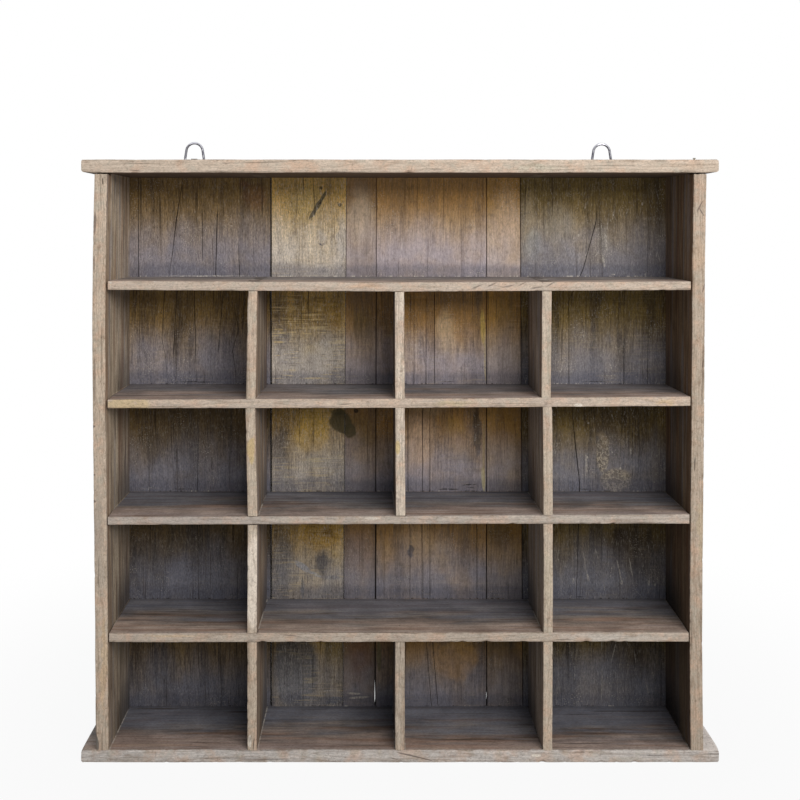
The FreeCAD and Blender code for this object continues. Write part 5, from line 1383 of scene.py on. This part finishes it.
for number, name in enumerate(OUTER_BOARDS + UPRIGHTS + SHELVES, 1):
    case_board(number, name)
for number in CRACKS:
    back_plank(number)
for name in ("left_side_nails", "right_side_nails", "shelf_1_nails", "shelf_3_nails", "shelf_4_nails"):
    bend_nails(name)
for name in ("top_nails", "bottom_nails", "back_nails", "proud_nail"):
    repaint(name, NAIL_FINISH)
for name in ("left_strap", "right_strap", "strap_screws"):
    repaint(name, STRAP_FINISH)
wire_ring("left_ring", "left_ring_hinge", 0.3 * MM)
wire_ring("right_ring", "right_ring_hinge", 1.3 * MM)


# Floor, light and camera

def white_where_seen(wiring, dull, white, output, share=1.0):
    """Joins a shader to an output, plain white instead for the rays that look at the background."""
    ray = wiring.add("ShaderNodeLightPath").outputs
    seen = wiring.most(wiring.most(ray["Is Camera Ray"], ray["Is Glossy Ray"]), ray["Is Transmission Ray"])
    bright = wiring.add(white, {"Color": (1, 1, 1, 1), "Strength": 1.0})
    inputs = {0: wiring.times(seen, share), 1: dull, 2: bright.outputs[0]}
    mix = wiring.add("ShaderNodeMixShader", inputs)
    wiring.plug(wiring.tree.nodes[output].inputs["Surface"], mix.outputs[0])


def make_world():
    world = bpy.data.worlds.new("studio_light")
    world.use_nodes = True
    bpy.context.scene.world = world
    soft = world.node_tree.nodes["Background"]
    soft.inputs["Color"].default_value = (0.92, 0.96, 1.0, 1)
    soft.inputs["Strength"].default_value = 0.35
    white_where_seen(Wiring(world.node_tree), soft.outputs[0], "ShaderNodeBackground", "World Output")


def make_floor():
    shape = bmesh.new()
    bmesh.ops.create_grid(shape, x_segments=1, y_segments=1, size=4.0)
    mesh = bpy.data.meshes.new("floor")
    shape.to_mesh(mesh)
    shape.free()
    floor = bpy.data.objects.new("floor", mesh)
    floor.location = (0, 0, -0.0005)
    bpy.context.scene.collection.objects.link(floor)
    finish = bpy.data.materials.new("pale_floor")
    finish.use_nodes = True
    tree = finish.node_tree
    wiring = Wiring(tree)
    tree.nodes.remove(tree.nodes["Principled BSDF"])
    matt = wiring.add("ShaderNodeBsdfDiffuse", {"Color": (0.45, 0.45, 0.45, 1)})
    distance = wiring.length(wiring.add("ShaderNodeTexCoord").outputs["Object"])
    share = wiring.fade(distance, 0.3, 0.9, 0.93, 1.0)
    white_where_seen(wiring, matt.outputs[0], "ShaderNodeEmission", "Material Output", share)
    mesh.materials.append(finish)


def add_lamp(name, place, aim, size, energy, shade):
    """A soft lamp, of a width and height, at a place, turned to its aim."""
    data = bpy.data.lights.new(name, "AREA")
    data.shape = "RECTANGLE"
    data.size, data.size_y = size
    data.energy = energy
    data.color = shade
    lamp = bpy.data.objects.new(name, data)
    lamp.location = place
    lamp.rotation_euler = (Vector(aim) - Vector(place)).to_track_quat("-Z", "Y").to_euler()
    bpy.context.scene.collection.objects.link(lamp)


make_world()
make_floor()
add_lamp("key_lamp", (1.05, -2.25, 1.55), (0.0, 0.0, 0.35), (2.0, 1.35), 59.0, (1.0, 0.98, 0.95))

camera_data = bpy.data.cameras.new("photo_camera")
camera_data.sensor_width = 36
camera_data.lens = 46.34
camera_data.shift_x = 0.035
camera_data.shift_y = -0.21
camera = bpy.data.objects.new("photo_camera", camera_data)
camera.location = (-0.0307, -1.1901, 0.5824)
camera.rotation_euler = (math.radians(90), 0, 0)
bpy.context.scene.collection.objects.link(camera)
bpy.context.scene.camera = camera
bpy.context.scene.view_settings.view_transform = "Standard"
